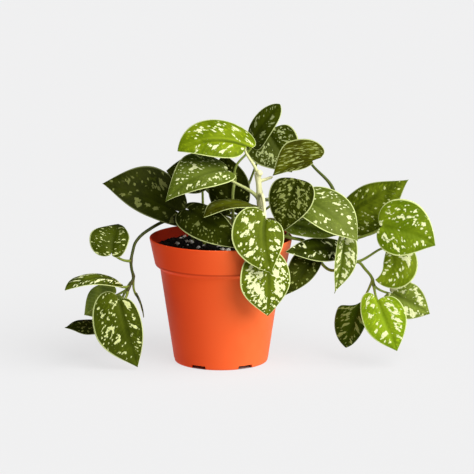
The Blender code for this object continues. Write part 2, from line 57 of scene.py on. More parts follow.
# Pot
RIM_RADIUS = 60.0
POT_HEIGHT = 106.0
BASE_RADIUS = 39.5
COLLAR_FOOT_HEIGHT = 84.5
COLLAR_FOOT_RADIUS = 55.6
STEP_HEIGHT = 80.0
STEP_RADIUS = 51.3
WALL = 1.35
COLLAR_SLOPE = (RIM_RADIUS - COLLAR_FOOT_RADIUS) / (POT_HEIGHT - COLLAR_FOOT_HEIGHT)
CHANNEL_HEIGHT = 3.2
FLOOR_THICKNESS = 1.6
PAD_RADIUS = 20.0
FOOT_RING_INNER = 37.2
NOTCH_COUNT = 6
NOTCH_WIDTH = 14.0
NOTCH_HEIGHT = 3.0
NOTCH_DEPTH = 9.0
NOTCH_TOP_WIDTH = 0.94  # width of a notch's top, in widths of its foot
NOTCH_BELOW = 2.0       # how far the cutting block reaches below the pot
FIRST_NOTCH_DEGREES = 31.5
DRAIN_RADIUS = 3.5
DRAIN_CIRCLE = 30.0
DRAIN_SIDES = 24
DRAIN_CUT = (2.0, 6.0)  # heights between which the plug for a drain hole stands
STEP_OUT = 0.9          # how far the wall turns out above the step
COLLAR_SWELL = 0.2
RIM_ROUND = 0.5
CHANNEL_SLOPE = 1.2
FLOOR_CORNER_WIDTH = 1.6
FLOOR_CORNER_HEIGHT = 2.5
ROUND_STEPS = 4         # faces across a rounded edge
SHARP_ANGLE = math.radians(40)

# Soil
SOIL_LEVEL = 97.5
SOIL_EDGE_DROP = 1.8
SOIL_EDGE_WIDTH = 1.5
SOIL_INSET = 0.5
CLOD_HEIGHT = 0.7
CLEARANCE = 0.3
SOIL_SIDES = 144
STREWN_SIDES = 72
STREWN_RINGS = 24
CRUMB_SIZES = (0.4, 1.3)    # smallest and largest radius
PERLITE_SIZES = (0.8, 2.7)

# Stems
HOLE_BOTTOM = 84.0
ROOT_LIFT = 2.0         # a stem's straight root runs from this far above its hole's bottom
                        # to this far above the soil
PETIOLE_START = 1.25
PETIOLE_END = 1.0
PETIOLE_REACH = 1.6     # how far a petiole runs under its blade
SEAT_DEPTH = 0.8        # from the blade's underside to the petiole's centre, in petiole radii
TAPER = 0.2             # share of a stem's radius lost by its end
CURVE_STEPS = 200       # steps in which a curve's length is measured
STEM_STEP = 1.3         # distance between the sections of a stem
JOINT_SWELL = 0.22      # how much thicker a stem is at its joints
JOINT_REACH = 1.3       # in stem radii
STEM_END = 0.55         # the last section's radius, as a share
FOOT_SWELL = 0.25       # how much thicker a stalk is at its foot
FOOT_REACH = 0.07       # in stalk lengths
STALK_WAIST = 0.12
STALK_END = 0.7
STALK_SCAR = 0.3        # strength of the scar at a stalk's foot
SCAR_REACH = 0.05
SHOOT_RADIUS = 1.5
SHOOT_STEPS = 10
SHOOT_TAPER = 0.25
SHOOT_BLUNT = 0.2       # share of a shoot's length that its round end takes
SHOOT_END = 0.2         # radius of a shoot's very end, in shoot radii
SHOOT_TONE = 0.95
BUD_STEPS = 10
BUD_AXIS = Vector((0.1, -0.3, 0.95))
BUD_END = 0.12          # radius of a bud's ends, in bud radii

# Blades
BLADE = 0.8             # thickness of the part's plain blades
SWEEP = 1.8             # how far the rows of a blade sweep from its midrib to the tip
CHANNEL_DEPTH = 0.9
CHANNEL_WIDTH = 2.0
CROWN_HEIGHT = 0.6      # how far each half of a blade swells
RIB_HEIGHT = 0.35
RIB_WIDTH = 0.7
RIM_BULGE = 0.25        # in blade thicknesses
RIM_THINNING = 0.35     # share of the thickness lost at the margin
WAVE_TURNS = (1.4, 2.4)  # fewest and most waves along a margin
EDGE_INSET = 0.35       # keeps the rounded rim inside the blade's outline
SINK = 0.4              # keeps the swollen halves inside the plain blade's face
UV_SPAN = 100.0         # millimetres across the blade's UV map
UV_START = 0.15
VEIN_SPACING = 3.1
VEIN_LEAN = 48.0        # degrees between the side veins and the midrib
HALF_SHIFT = 17.3       # moves the spots of one half, so that the halves differ
SEED_SHIFT = 0.37       # moves the spots across by the blade's seed
FLECK_FINENESS = 1.7    # how much smaller the flecks are than the large spots
SPECKLE_FINENESS = 2.2
UNDERSIDE_DEPTH = 0.9   # strength of the face's greens on the underside
UNDERSIDE_DARK = 0.025  # paleness added to the darker green
UNDERSIDE_LIGHT = 0.03

# Colours
SHEEN_TINT = (1.0, 0.97, 0.4, 1.0)
MARGIN = (0.72, 0.80, 0.32)
STEM_OLD = (0.035, 0.045, 0.004)
STEM_GREEN = (0.24, 0.31, 0.03)
STEM_CREAM = (0.97, 0.95, 0.52)
STEM_SCAR = (0.10, 0.06, 0.02)
POT_COLOUR = (0.87, 0.062, 0.009)
# painted light: the paler pot colour of the lit right side
POT_PAINTED_LIT = (0.95, 0.18, 0.048)
POT_SMUDGE = (0.93, 0.100, 0.017)
# painted shade: the dark line under the collar's foot
POT_PAINTED_COLLAR_SHADE = (0.40, 0.025, 0.006)
POT_DUST = (0.90, 0.20, 0.06)
# painted shade: the darker, redder inside of the pot
POT_PAINTED_INSIDE_SHADE = (0.48, 0.025, 0.008)
POT_SHEEN_TINT = (1.0, 0.7, 0.4, 1.0)
PEAT_DARK = (0.004, 0.003, 0.002)
PEAT_LIGHT = (0.022, 0.012, 0.007)
PEAT_BROWN = (0.016, 0.009, 0.006)
PERLITE_PIT = (0.60, 0.50, 0.39)
PERLITE_WHITE = (0.95, 0.93, 0.88)
PERLITE_STAIN = (0.30, 0.21, 0.14)

# Studio
FLOOR_REACH = 30000.0
FLOOR_DARK = (0.52, 0.52, 0.523)
FLOOR_LIGHT = (0.53, 0.53, 0.533)
FLOOR_GLOW = (1.0, 1.0, 1.005)
FLOOR_GLOW_SHARE = 0.7
CAMERA_TARGET = (0.0135, 0.0, 0.1055)
SENSOR_WIDTH = 36.0
FARTHEST_VIEW = 100.0   # metres
KEY_DIRECTION = (0.62, -0.45, 0.72)
KEY_SOFTNESS = math.radians(70)


@dataclass
class Leaf:
    """One blade: where it joins its petiole, where its tip is and which way it faces."""
    name: str
    base: tuple
    tip: tuple
    facing: tuple
    width: float
    bend: float = 25.0      # degrees the midrib turns, arched towards the face
    fold: float = 0.0       # degrees each half rises from the midrib
    curl: float = 0.0       # further degrees between midrib and margin
    left: float = 0.5       # share of the width left of the midrib
    bow: float = 0.0        # degrees the midrib turns sideways, arched to the left
    lobes: float = 0.14     # reach of the lobes behind the petiole, in blade lengths
    skew: float = 0.0       # how much further the left lobe reaches than the right one
    point: float = 0.25     # how drawn out the tip is, from -0.3, blunt, to 0.6, long and thin
    lift: float = 60.0      # angle at which the petiole meets the blade


@dataclass
class Look:
    """The colours and markings of one blade."""
    green: tuple
    light: tuple
    spot: tuple
    cover: float            # how much of the middle of each half the spots cover, from 0 to 1
    size: float             # width of a large spot in mm
    stretch: float          # length of a spot in widths
    edge: float             # strength of the pale margin line
    seed: float
    sheen: float = 0.1      # how much the face shines
    # tone, and the palette each blade takes, are partly the leaf's own green and partly painted light
    # and shade: lighter for shaded blades that show lit, darker for lit blades that show shaded
    tone: float = 1.0       # how light the green is
    lean: float = VEIN_LEAN
    bare: float = 0.42      # share of each half, beside the midrib, where the spots are fewer
    # strength of the painted shade along the midrib and the painted highlight beside it
    painted_groove_shade: float = 0.35    # how clearly the midrib's groove shows


LEAVES = [
    Leaf("leaf_crown", (21.5, -6, 184), (-36, -18, 181.5), (0.0, -0.62, 0.78), 46.5,
         bend=48, curl=-15, left=0.38, bow=-26, lobes=0.05, skew=-0.16, point=0.0),
    Leaf("leaf_under_crown", (5, -12, 165), (-46, -34, 141.5), (-0.25, -0.6, 0.75), 47,
         bend=70, left=0.4, lobes=0.06, point=0.5),
    Leaf("leaf_shade", (-14, 9, 155), (-46, 6, 161), (-0.1, -0.9, 0.3), 32, lift=70),
    Leaf("leaf_left_high", (-38, 8, 127), (-99, -4, 152), (0.25, -0.72, 0.65), 50, bend=35, left=0.38),
    Leaf("leaf_over_soil", (-26, -12, 131), (20, -60.5, 107.4), (-0.45, -0.45, 0.75), 32,
         bend=40, left=0.38),
    Leaf("leaf_low_edge", (25, -18, 137), (-15, -48, 131.2), (0.05, -0.05, 1.0), 32,
         bend=50, left=0.45),
    Leaf("leaf_front_high", (37, -50, 131), (42, -68, 89), (0.15, -0.92, 0.36), 44,
         left=0.38, bow=-35, lobes=0.07, skew=-0.14),
    Leaf("leaf_front_low", (39, -54, 96), (39, -56, 50), (0.42, -0.9, 0.1), 46, left=0.42, lift=15),
    Leaf("leaf_back_centre", (9, 20, 128), (2, 30, 172), (0.0, -0.95, 0.2), 36, lift=5),
    Leaf("leaf_top", (26, 22, 182), (49.5, 19, 215.5), (-0.5, -0.6, 0.6), 29,
         bend=30, left=0.45, lobes=0.06, point=-0.3, lift=10),
    Leaf("leaf_facing", (40, 44, 188), (60, 25, 156), (0.05, -0.9, 0.4), 47,
         fold=12, left=0.42, lobes=0.05, skew=-0.08),
    Leaf("leaf_curled", (76, -4, 171.5), (42.5, -16, 160.5), (-0.1, -0.7, 0.7), 30,
         fold=20, left=0.27, lobes=0.17, skew=-0.36, point=0.5),
    Leaf("leaf_dark_right", (63, -16, 158), (51, -31, 116), (-0.3, -0.9, 0.3), 40, lobes=0.0),
    Leaf("leaf_right_grey", (71, -8, 139), (114, -26, 107), (0.2, -0.6, 0.77), 47,
         bend=50, left=0.54, lift=85),
    Leaf("leaf_hanging", (103, -14, 104), (95, -20, 61), (0.4, -0.9, 0.1), 26,
         fold=35, left=0.5, point=0.6),
    Leaf("leaf_right_high", (106, 10, 123), (157, -2, 155), (0.1, -0.85, 0.5), 42,
         bend=30, left=0.34, lobes=0.08, point=0.45, lift=50),
    Leaf("leaf_right_round", (134, -24, 119), (178, -30, 104), (0.05, -0.96, 0.25), 48,
         left=0.545, bow=25, lobes=0.08),
    Leaf("leaf_right_curled", (142, -17, 97.5), (128.5, -22, 73.5), (0.1, -0.98, 0.1), 30,
         left=0.71, bow=115, lobes=0.06, lift=30),
    Leaf("leaf_right_low", (131, -26, 56), (147, -34, 15), (0.05, -0.98, 0.15), 37,
         lobes=0.12, skew=-0.16),
    Leaf("leaf_right_low_dark", (117, -10, 51), (105, -10, 12), (-0.3, -0.95, 0.1), 28,
         left=0.38, lobes=0.03, skew=0.3, point=-0.1),
    Leaf("leaf_far_right", (145, -1, 57), (176, -8, 41), (0.1, -0.95, 0.2), 32),
    Leaf("leaf_right_under", (60, -8, 118), (98, -11, 109), (0.0, -0.6, 0.8), 26, left=0.52),
    Leaf("leaf_right_middle", (97, -5, 97.5), (53, -37, 100.5), (0.3, -0.75, 0.6), 23,
         bend=15, left=0.55, lift=30),
    Leaf("leaf_right_deep", (80, -10, 92), (53, -32, 62), (0.35, -0.85, 0.4), 25,
         left=0.38, lobes=0.08, lift=15),
    Leaf("leaf_left_sliver", (-70.5, -10, 59), (-64.5, -12, 38.5), (0.98, 0.05, 0.1), 13,
         lobes=0.05, lift=0),
    Leaf("leaf_left_upper", (-91, -16, 96), (-86, 14, 114), (0.0, -0.5, 0.85), 34,
         bend=80, left=0.61, lobes=0.1, point=0.5),
    Leaf("leaf_left_arched", (-86, -20, 72), (-129, -44, 69.5), (-0.2, -0.35, 0.9), 30,
         bend=65, curl=-30, left=0.36, lobes=0.08, point=0.1),
    Leaf("leaf_left_low", (-84, -34, 57), (-69, -40, 2.6), (-0.05, -0.99, 0.1), 41,
         left=0.34, lobes=0.11, skew=-0.14),
    Leaf("leaf_left_behind", (-90, -9, 58), (-115, -12, 41), (0.2, 0.9, 0.3), 30),
    Leaf("leaf_left_far", (-101, 2, 28), (-132, -6, 29), (-0.1, -0.45, 0.88), 22, left=0.57),
    Leaf("leaf_back_left", (-32, 42, 121), (-60, 68, 136), (0.2, 0.6, 0.75), 42, bend=35),
    Leaf("leaf_back_high", (6, 46, 146), (-8, 86, 124), (0.0, 0.55, 0.85), 44, bend=45),
    Leaf("leaf_back_right", (44, 42, 132), (84, 66, 116), (0.2, 0.5, 0.85), 42, bend=35),
    Leaf("leaf_back_low_left", (-6, 66, 108), (-22, 84, 66), (-0.1, 0.95, 0.3), 42, bend=20, lift=15),
    Leaf("leaf_back_low_right", (36, 66, 104), (46, 82, 64), (0.2, 0.95, 0.2), 40, bend=20, lift=15),
]

FRESH = (0.10, 0.155, 0.001)
FRESH_LIGHT = (0.24, 0.32, 0.007)
BRIGHT = (0.115, 0.185, 0.003)
BRIGHT_LIGHT = (0.19, 0.27, 0.008)
MID = (0.085, 0.125, 0.002)
MID_LIGHT = (0.15, 0.20, 0.008)
DEEP = (0.048, 0.069, 0.002)
DEEP_LIGHT = (0.09, 0.12, 0.005)
DARK = (0.018, 0.025, 0.001)
DARK_LIGHT = (0.042, 0.054, 0.002)
BROWN = (0.036, 0.038, 0.001)
BROWN_LIGHT = (0.090, 0.105, 0.003)
MOSS = (0.020, 0.034, 0.001)
MOSS_LIGHT = (0.042, 0.062, 0.002)
GREY = (0.085, 0.12, 0.008)
GREY_LIGHT = (0.15, 0.195, 0.026)
CREAM = (0.80, 0.86, 0.36)
PALE = (0.90, 0.94, 0.50)
SILVER = (0.48, 0.54, 0.22)
DULL = (0.15, 0.165, 0.045)
OLIVE = (0.32, 0.36, 0.10)

# each blade's greens are partly its own colour and partly painted light and shade, set for how lit or
# shaded the blade is
LOOKS = {
    "leaf_crown": Look(FRESH, FRESH_LIGHT, PALE, 0.52, 4.4, 1.8, 1.0, 3.0, painted_groove_shade=1.0),
    "leaf_under_crown": Look(GREY, GREY_LIGHT, PALE, 0.54, 3.8, 1.5, 1.0, 7.0, sheen=0.08),
    "leaf_shade": Look(DARK, DARK_LIGHT, SILVER, 0.5, 3.6, 1.6, 0.3, 11.0, sheen=0.04, tone=0.7),
    "leaf_left_high": Look(DARK, DARK_LIGHT, DULL, 0.56, 7.0, 1.4, 0.2, 2.0, sheen=0.04, tone=0.6),
    "leaf_over_soil": Look(DARK, DARK_LIGHT, OLIVE, 0.4, 3.6, 1.6, 0.8, 5.0, sheen=0.06, tone=1.1),
    "leaf_low_edge": Look(BROWN, BROWN_LIGHT, DULL, 0.3, 3.6, 2.2, 1.0, 8.0, sheen=0.06),
    "leaf_front_high": Look(MID, MID_LIGHT, PALE, 0.66, 4.2, 1.4, 1.0, 1.0, tone=0.82, painted_groove_shade=0.8),
    "leaf_front_low": Look(MID, MID_LIGHT, PALE, 0.92, 3.6, 1.4, 1.0, 4.0, tone=0.85,
                           bare=0.3, painted_groove_shade=0.8),
    "leaf_back_centre": Look(DARK, DARK_LIGHT, OLIVE, 0.42, 3.6, 1.5, 0.3, 13.0, sheen=0.04, tone=0.7),
    "leaf_top": Look(DEEP, DEEP_LIGHT, SILVER, 0.5, 3.4, 2.6, 0.9, 17.0, sheen=0.03, tone=0.75),
    "leaf_facing": Look(DEEP, DEEP_LIGHT, SILVER, 0.7, 2.8, 1.4, 0.8, 19.0, tone=0.65),
    "leaf_curled": Look(BROWN, BROWN_LIGHT, OLIVE, 0.56, 1.6, 6.0, 0.6, 23.0, sheen=0.02, tone=0.9,
                        lean=10.0, bare=0.1, painted_groove_shade=0.0),
    "leaf_dark_right": Look(DARK, DARK_LIGHT, OLIVE, 0.7, 2.7, 1.8, 0.8, 29.0, sheen=0.06, tone=1.0,
                            bare=0.12, painted_groove_shade=0.0),
    "leaf_right_grey": Look(GREY, GREY_LIGHT, PALE, 0.48, 4.6, 1.4, 1.0, 31.0, sheen=0.2),
    "leaf_hanging": Look(GREY, GREY_LIGHT, PALE, 0.8, 3.6, 2.0, 1.0, 37.0, tone=1.3),
    "leaf_right_high": Look(DEEP, MID_LIGHT, CREAM, 0.4, 4.2, 1.8, 0.5, 41.0, tone=1.4),
    "leaf_right_round": Look(BRIGHT, BRIGHT_LIGHT, PALE, 0.55, 4.0, 1.4, 1.0, 43.0, tone=0.92,
                             painted_groove_shade=0.15),
    "leaf_right_curled": Look(MID, MID_LIGHT, PALE, 0.66, 4.2, 1.6, 0.9, 47.0, tone=1.4),
    "leaf_right_low": Look(BRIGHT, BRIGHT_LIGHT, PALE, 0.68, 4.2, 1.8, 0.9, 53.0, tone=1.45, painted_groove_shade=0.5),
    "leaf_right_low_dark": Look(MOSS, MOSS_LIGHT, OLIVE, 0.7, 2.8, 3.0, 0.2, 59.0, sheen=0.04, tone=1.2),
    "leaf_far_right": Look(GREY, GREY_LIGHT, PALE, 0.8, 4.0, 1.6, 0.5, 61.0, sheen=0.15, tone=1.45),
    "leaf_right_under": Look(GREY, GREY_LIGHT, PALE, 0.5, 3.6, 1.6, 1.0, 67.0, tone=2.4),
    "leaf_right_middle": Look(DARK, DEEP, PALE, 0.5, 4.2, 1.8, 0.9, 71.0, sheen=0.06),
    "leaf_right_deep": Look(DARK, DARK_LIGHT, OLIVE, 0.45, 3.2, 1.6, 0.4, 73.0, sheen=0.04),
    "leaf_left_sliver": Look(DARK, DARK_LIGHT, DULL, 0.3, 3.6, 1.6, 0.4, 79.0, sheen=0.04),
    "leaf_left_upper": Look(DEEP, DEEP_LIGHT, CREAM, 0.5, 2.4, 2.4, 0.8, 83.0, tone=0.82, lean=80.0),
    "leaf_left_arched": Look(DEEP, MID_LIGHT, PALE, 0.7, 2.6, 3.4, 0.9, 89.0, tone=0.65, lean=30.0),
    "leaf_left_low": Look(DEEP, DEEP_LIGHT, CREAM, 0.56, 3.6, 1.7, 0.9, 97.0, tone=0.85, painted_groove_shade=0.5),
    "leaf_left_behind": Look(FRESH, FRESH_LIGHT, CREAM, 0.4, 3.6, 1.6, 0.8, 101.0),
    "leaf_left_far": Look(DARK, DARK_LIGHT, OLIVE, 0.5, 3.6, 1.6, 0.4, 103.0, sheen=0.05),
    "leaf_back_left": Look(MID, MID_LIGHT, CREAM, 0.62, 4.6, 1.6, 1.0, 107.0, tone=0.85),
    "leaf_back_high": Look(MID, MID_LIGHT, CREAM, 0.6, 4.4, 1.8, 1.0, 109.0, tone=0.85),
    "leaf_back_right": Look(MID, MID_LIGHT, CREAM, 0.66, 4.6, 1.6, 1.0, 113.0, tone=0.85),
    "leaf_back_low_left": Look(MID, MID_LIGHT, PALE, 0.75, 4.2, 1.6, 1.0, 127.0, tone=0.85),
    "leaf_back_low_right": Look(DEEP, MID_LIGHT, CREAM, 0.66, 4.6, 1.6, 1.0, 131.0, tone=0.85),
}


@dataclass
class Petiole:
    """A leaf stalk: the leaf it carries, where it leaves its vine and in which direction."""
    leaf: str
    start: float            # position among the vine's points, such as 3.5
    leaving: tuple = (0, 0, 1)
    slack: float = 0.4      # length of the curve's handles, as a share of the span
    foot: float = 1.0       # how much thicker its foot is than usual
    tone: float = 0.55      # from 0, old and dark, to 1, young and cream


@dataclass
class Vine:
    """A stem that stands in the soil, passes its points and carries its petioles."""
    name: str
    radius: float
    points: list
    petioles: list
    shoots: tuple = ()      # bare young shoots: where each starts on the stem, and its end
    buds: tuple = ()        # round buds: the centre and radius of each
    tone: float = 0.35      # as for a petiole


VINES = [
    Vine("vine_centre", 2.9,
         [(34, 2), (34, 1, 106), (33.5, -3, 120), (33, -6, 134), (32, -6, 148), (30.5, -5, 162)],
         [Petiole("leaf_crown", 4.8, (-0.2, 0, 1), foot=1.3, tone=0.8),
          Petiole("leaf_under_crown", 3.2, (-0.5, 0, 1), foot=1.5, tone=0.7),
          Petiole("leaf_low_edge", 2.4, (0, -0.6, 0.4)),
          Petiole("leaf_front_high", 3.6, (0.2, -0.8, 0.3), foot=1.5, tone=0.95)],
         shoots=[(4.4, (43.5, -4, 157.5))], buds=[((32.2, -7.6, 161.2), 2.7)], tone=0.95),
    Vine("vine_back_centre", 1.6,
         [(10, 10), (10, 10, 106), (10, 6, 116), (10, 4, 128), (10, 5, 142), (12, 9, 153)],
         [Petiole("leaf_top", 5.0, (-0.2, -0.1, 1), 0.5),
          Petiole("leaf_back_centre", 1.4, (0, 1, 0), 0.6)], tone=0.6),
    Vine("vine_left_mouth", 1.6,
         [(-14, 4), (-14, 4, 106), (-15, 2, 116), (-15, 0, 126)],
         [Petiole("leaf_shade", 3.0, (0, 0.7, 1)),
          Petiole("leaf_over_soil", 2.0, (-0.5, -0.6, 0.6)),
          Petiole("leaf_left_high", 1.6, (-0.8, 0.4, 0.4))], tone=0.55),
    Vine("vine_left", 1.5,
         [(-24, 14), (-25, 13, 106), (-33, 10, 115), (-42, 7, 118.5), (-50, 7, 116.5), (-59.5, 2, 112),
          (-66.5, -2, 107.5), (-71.5, -6, 102), (-73.5, -9, 96), (-75, -14, 88), (-74.5, -15, 81),
          (-73, -16, 74), (-76, -19, 68), (-78, -22, 63.5)],
         [Petiole("leaf_left_upper", 9.0, (-0.8, -0.2, -0.1)),
          Petiole("leaf_left_arched", 12.2, (-0.9, -0.2, -0.1)),
          Petiole("leaf_left_low", 13.0, (0.1, -0.3, -1)),
          Petiole("leaf_left_behind", 12.6, (-0.7, 0.5, -0.4)),
          Petiole("leaf_left_far", 11.6, (-0.3, 1, -0.3), 0.5),
          Petiole("leaf_left_sliver", 10.8, (0, 0.3, -1))], tone=0.1),
    Vine("vine_right", 1.7,
         [(46, 8), (47, 8, 106), (54, 8, 116), (66, 8, 123), (80, 9, 128), (94, 9, 129), (105, 5, 123),
          (111, 0, 113), (113, -3, 105)],
         [Petiole("leaf_curled", 5.0, (0.3, -0.2, 1), 0.5, foot=1.6, tone=0.15),
          Petiole("leaf_dark_right", 2.0, (0, -0.4, 1)),
          Petiole("leaf_right_grey", 2.4, (0.2, -0.4, 0.8)),
          Petiole("leaf_right_high", 4.4, (0.5, 1, 0.1)),
          Petiole("leaf_right_round", 8.0, (0.7, -0.4, 0.2)),
          Petiole("leaf_hanging", 7.6, (-0.2, 0.2, -0.4))]),
    Vine("vine_right_low", 1.5,
         [(44, -18), (44, -18, 105), (51, -18, 109.5), (60.5, -15.5, 107.5), (70, -6, 103), (79, 7, 92),
          (86, 8, 80), (93, 4, 76), (101, -3, 79), (108, -7, 83), (115, -9, 86), (121, -11, 80),
          (126, -13, 74), (128, -15, 67)],
         [Petiole("leaf_right_under", 2.5, (-0.2, 0.6, 0.5)),
          Petiole("leaf_right_middle", 3.8, (0.7, -0.4, -0.2)),
          Petiole("leaf_right_deep", 4.2, (0.1, -0.2, 1)),
          Petiole("leaf_right_curled", 9.6, (0.9, -0.1, 0.2), 0.45),
          Petiole("leaf_right_low", 13.0, (0.1, -0.1, -1)),
          Petiole("leaf_right_low_dark", 12.4, (-0.4, 0.3, -1)),
          Petiole("leaf_far_right", 12.9, (0.3, 0.9, -0.6), 0.6)]),
    Vine("vine_front", 1.5,
         [(28, -26), (29, -27, 106), (33, -37, 111), (37, -47, 111.5), (39, -52, 109)],
         [Petiole("leaf_front_low", 4.0, (0.1, -0.3, -1))]),
    Vine("vine_back", 1.7,
         [(14, 32), (14, 32, 106), (15, 35, 116), (16, 38, 128)],
         [Petiole("leaf_back_left", 2.0, (-0.8, 0.2, 0.3)),
          Petiole("leaf_back_high", 3.0, (0, 0.1, 1)),
          Petiole("leaf_back_right", 1.7, (0.8, 0.4, 0.4)),
          Petiole("leaf_facing", 2.8, (0.5, 0.3, 1)),
          Petiole("leaf_back_low_left", 1.4, (-0.3, 0.8, 0.6)),
          Petiole("leaf_back_low_right", 1.6, (0.4, 0.8, 0.6))]),
]


class Value:
    """A socket used in Python expressions: each operation adds its node."""

    def __init__(self, shader, socket):
        self.shader = shader
        self.socket = socket

    def math(self, operation, *others, turned=False):
        values = [self, *others]
        if turned:
            values.reverse()
        node = self.shader.node("Math", {"operation": operation}, dict(enumerate(values)))
        return Value(self.shader, node.outputs[0])

    def __add__(self, other):
        return self.math("ADD", other)

    def __sub__(self, other):
        return self.math("SUBTRACT", other)

    def __mul__(self, other):
        return self.math("MULTIPLY", other)

    def __pow__(self, other):
        return self.math("POWER", other)

    def __rsub__(self, other):
        return self.math("SUBTRACT", other, turned=True)

    __radd__ = __add__
    __rmul__ = __mul__

    def rise(self, low, high):
        """0 below low, 1 above high, and smooth between them."""
        node = self.shader.node("MapRange", {"interpolation_type": "SMOOTHSTEP"},
                                {"Value": self, "From Min": low, "From Max": high})
        return Value(self.shader, node.outputs["Result"])

    def fall(self, low, high):
        return 1 - self.rise(low, high)

    def parts(self):
        """The three numbers of a vector."""
        node = self.shader.node("SeparateXYZ", {}, {0: self})
        return [Value(self.shader, output) for output in node.outputs]


class Shader:
    """A material under construction, with one principled surface."""

    def __init__(self, name, **constants):
        self.material = bpy.data.materials.new(name)
        self.material.use_nodes = True
        self.tree = self.material.node_tree
        self.surface = self.tree.nodes["Principled BSDF"]
        for label, value in constants.items():
            self.surface.inputs[label.replace("_", " ")].default_value = value

    def node(self, kind, settings=None, values=None):
        """Adds a node: its settings first, then the values or links of its sockets."""
        node = self.tree.nodes.new("ShaderNode" + kind)
        for name, setting in (settings or {}).items():
            setattr(node, name, setting)
        for name, value in (values or {}).items():
            self.feed(node.inputs[name], value)
        return node

    def feed(self, socket, value):
        if isinstance(value, Value):
            self.tree.links.new(value.socket, socket)
        elif isinstance(value, tuple) and len(value) == 3 and socket.type == "RGBA":
            socket.default_value = (*value, 1.0)
        else:
            socket.default_value = value

    def mix(self, factor, low, high):
        """A colour between two colours."""
        node = self.node("Mix", {"data_type": "RGBA"}, {0: factor, 6: low, 7: high})
        return Value(self, node.outputs[2])

    def vector(self, x, y, z=0.0):
        return Value(self, self.node("CombineXYZ", {}, {0: x, 1: y, 2: z}).outputs[0])

    def uv(self, name):
        return Value(self, self.node("UVMap", {"uv_map": name}).outputs[0])

    def attribute(self, name):
        return Value(self, self.node("Attribute", {"attribute_name": name}).outputs["Fac"])

    def place(self):
        """Object coordinates, which are metres in the part's frame."""
        return Value(self, self.node("TexCoord").outputs["Object"])

    def noise(self, vector, scale, detail=2.0, roughness=0.5):
        node = self.node("TexNoise", {"noise_dimensions": "3D"},
                         {"Vector": vector, "Scale": scale, "Detail": detail, "Roughness": roughness})
        return Value(self, node.outputs["Fac"])

    def cells(self, vector, scale):
        """Distance to the nearest cell centre and a random number for each cell."""
        node = self.node("TexVoronoi", {"voronoi_dimensions": "2D"}, {"Vector": vector, "Scale": scale})
        random_colour = self.node("SeparateColor", {}, {0: Value(self, node.outputs["Color"])})
        return Value(self, node.outputs["Distance"]), Value(self, random_colour.outputs[0])

    def bump(self, height, distance, strength=1.0):
        node = self.node("Bump", {}, {"Height": height, "Distance": distance, "Strength": strength})
        return Value(self, node.outputs["Normal"])

    def finish(self, **values):
        for label, value in values.items():
            self.feed(self.surface.inputs[label.replace("_", " ")], value)
        return self.material


def bezier(a, b, c, d, t):
    """A point on the cubic curve from a to d with the handles b and c."""
    s = 1.0 - t
    return a * s ** 3 + b * 3 * s * s * t + c * 3 * s * t * t + d * t ** 3


def margin(s, lobes, point):
    """The blade's edge from the sinus (s = 0) round the lobe to the tip (s = 1)."""
    sinus = Vector((-0.7 * max(lobes, 0.0), 0.07))
    widest = Vector((0.33, 1.0))
    if s < 0.5:
        return bezier(sinus, Vector((-1.9 * lobes, 0.42)), Vector((-0.5 * lobes, 1.0)), widest, 2 * s)
    shoulder = Vector((0.7 - 0.25 * point, 1.0))
    neck = Vector((0.9 - 0.2 * point, 0.4 - 0.32 * point))
    return bezier(widest, shoulder, neck, Vector((1.0, 0.0)), 2 * s - 1)


def bent(along, off, turn, length):
    """Where a point along and off a straight line goes when the line is bent to an arc."""
    if not turn:
        return along, off
    heading = turn * (0.5 - along / length)
    radius = length / turn
    x = radius * (math.sin(turn / 2) - math.sin(heading)) - off * math.sin(heading)
    y = radius * (math.cos(heading) - math.cos(turn / 2)) + off * math.cos(heading)
    return x, y


def arc_length(chord, turn):
    """Length of the arc that turns by an angle over a chord."""
    return chord * (turn / 2) / math.sin(turn / 2) if turn else chord


class BladeFrame:
    """Bends flat blade coordinates (distance along, distance across) into place."""

    def __init__(self, leaf):
        self.leaf = leaf
        self.base = Vector(leaf.base)
        chord = Vector(leaf.tip) - self.base
        self.ahead = chord.normalized()
        facing = Vector(leaf.facing)
        self.up = (facing - self.ahead * facing.dot(self.ahead)).normalized()
        self.side = self.up.cross(self.ahead)
        self.turn = math.radians(leaf.bend)
        self.bow = math.radians(leaf.bow)
        self.span = arc_length(chord.length, self.turn)
        self.length = arc_length(self.span, self.bow)

    def half_width(self, sign):
        share = self.leaf.left if sign > 0 else 1.0 - self.leaf.left
        return self.leaf.width * share

    def edge(self, s, sign):
        """The margin of one half as (distance along in blade lengths, distance across)."""
        reach = self.leaf.lobes + 0.5 * sign * self.leaf.skew
        point = margin(s, reach, self.leaf.point)
        return point.x, point.y * sign * self.half_width(sign)

    def place(self, along, across, rise_by=0.0):
        """along is in blade lengths, across in millimetres, left of the midrib positive."""
        sign = 1.0 if across >= 0 else -1.0
        share = abs(across) / self.half_width(sign)
        rise = math.radians(self.leaf.fold + 0.5 * self.leaf.curl * share)
        x, out = bent(along * self.length, across * math.cos(rise), self.bow, self.length)
        x, height = bent(x, abs(across) * math.sin(rise) + rise_by, self.turn, self.span)
        return self.base + self.ahead * x + self.side * out + self.up * height

    def seat(self):
        """Centre of the petiole's end, under the blade."""
        heading = self.turn / 2
        climb = self.ahead * math.cos(heading) + self.up * math.sin(heading)
        ahead = climb * math.cos(self.bow / 2) + self.side * math.sin(self.bow / 2)
        normal = self.up * math.cos(heading) - self.ahead * math.sin(heading)
        centre = self.base + ahead * PETIOLE_REACH - normal * (BLADE / 2 + PETIOLE_END * SEAT_DEPTH)
        lift = math.radians(self.leaf.lift)
        arrival = ahead * math.cos(lift) + normal * math.sin(lift)
        return centre, arrival


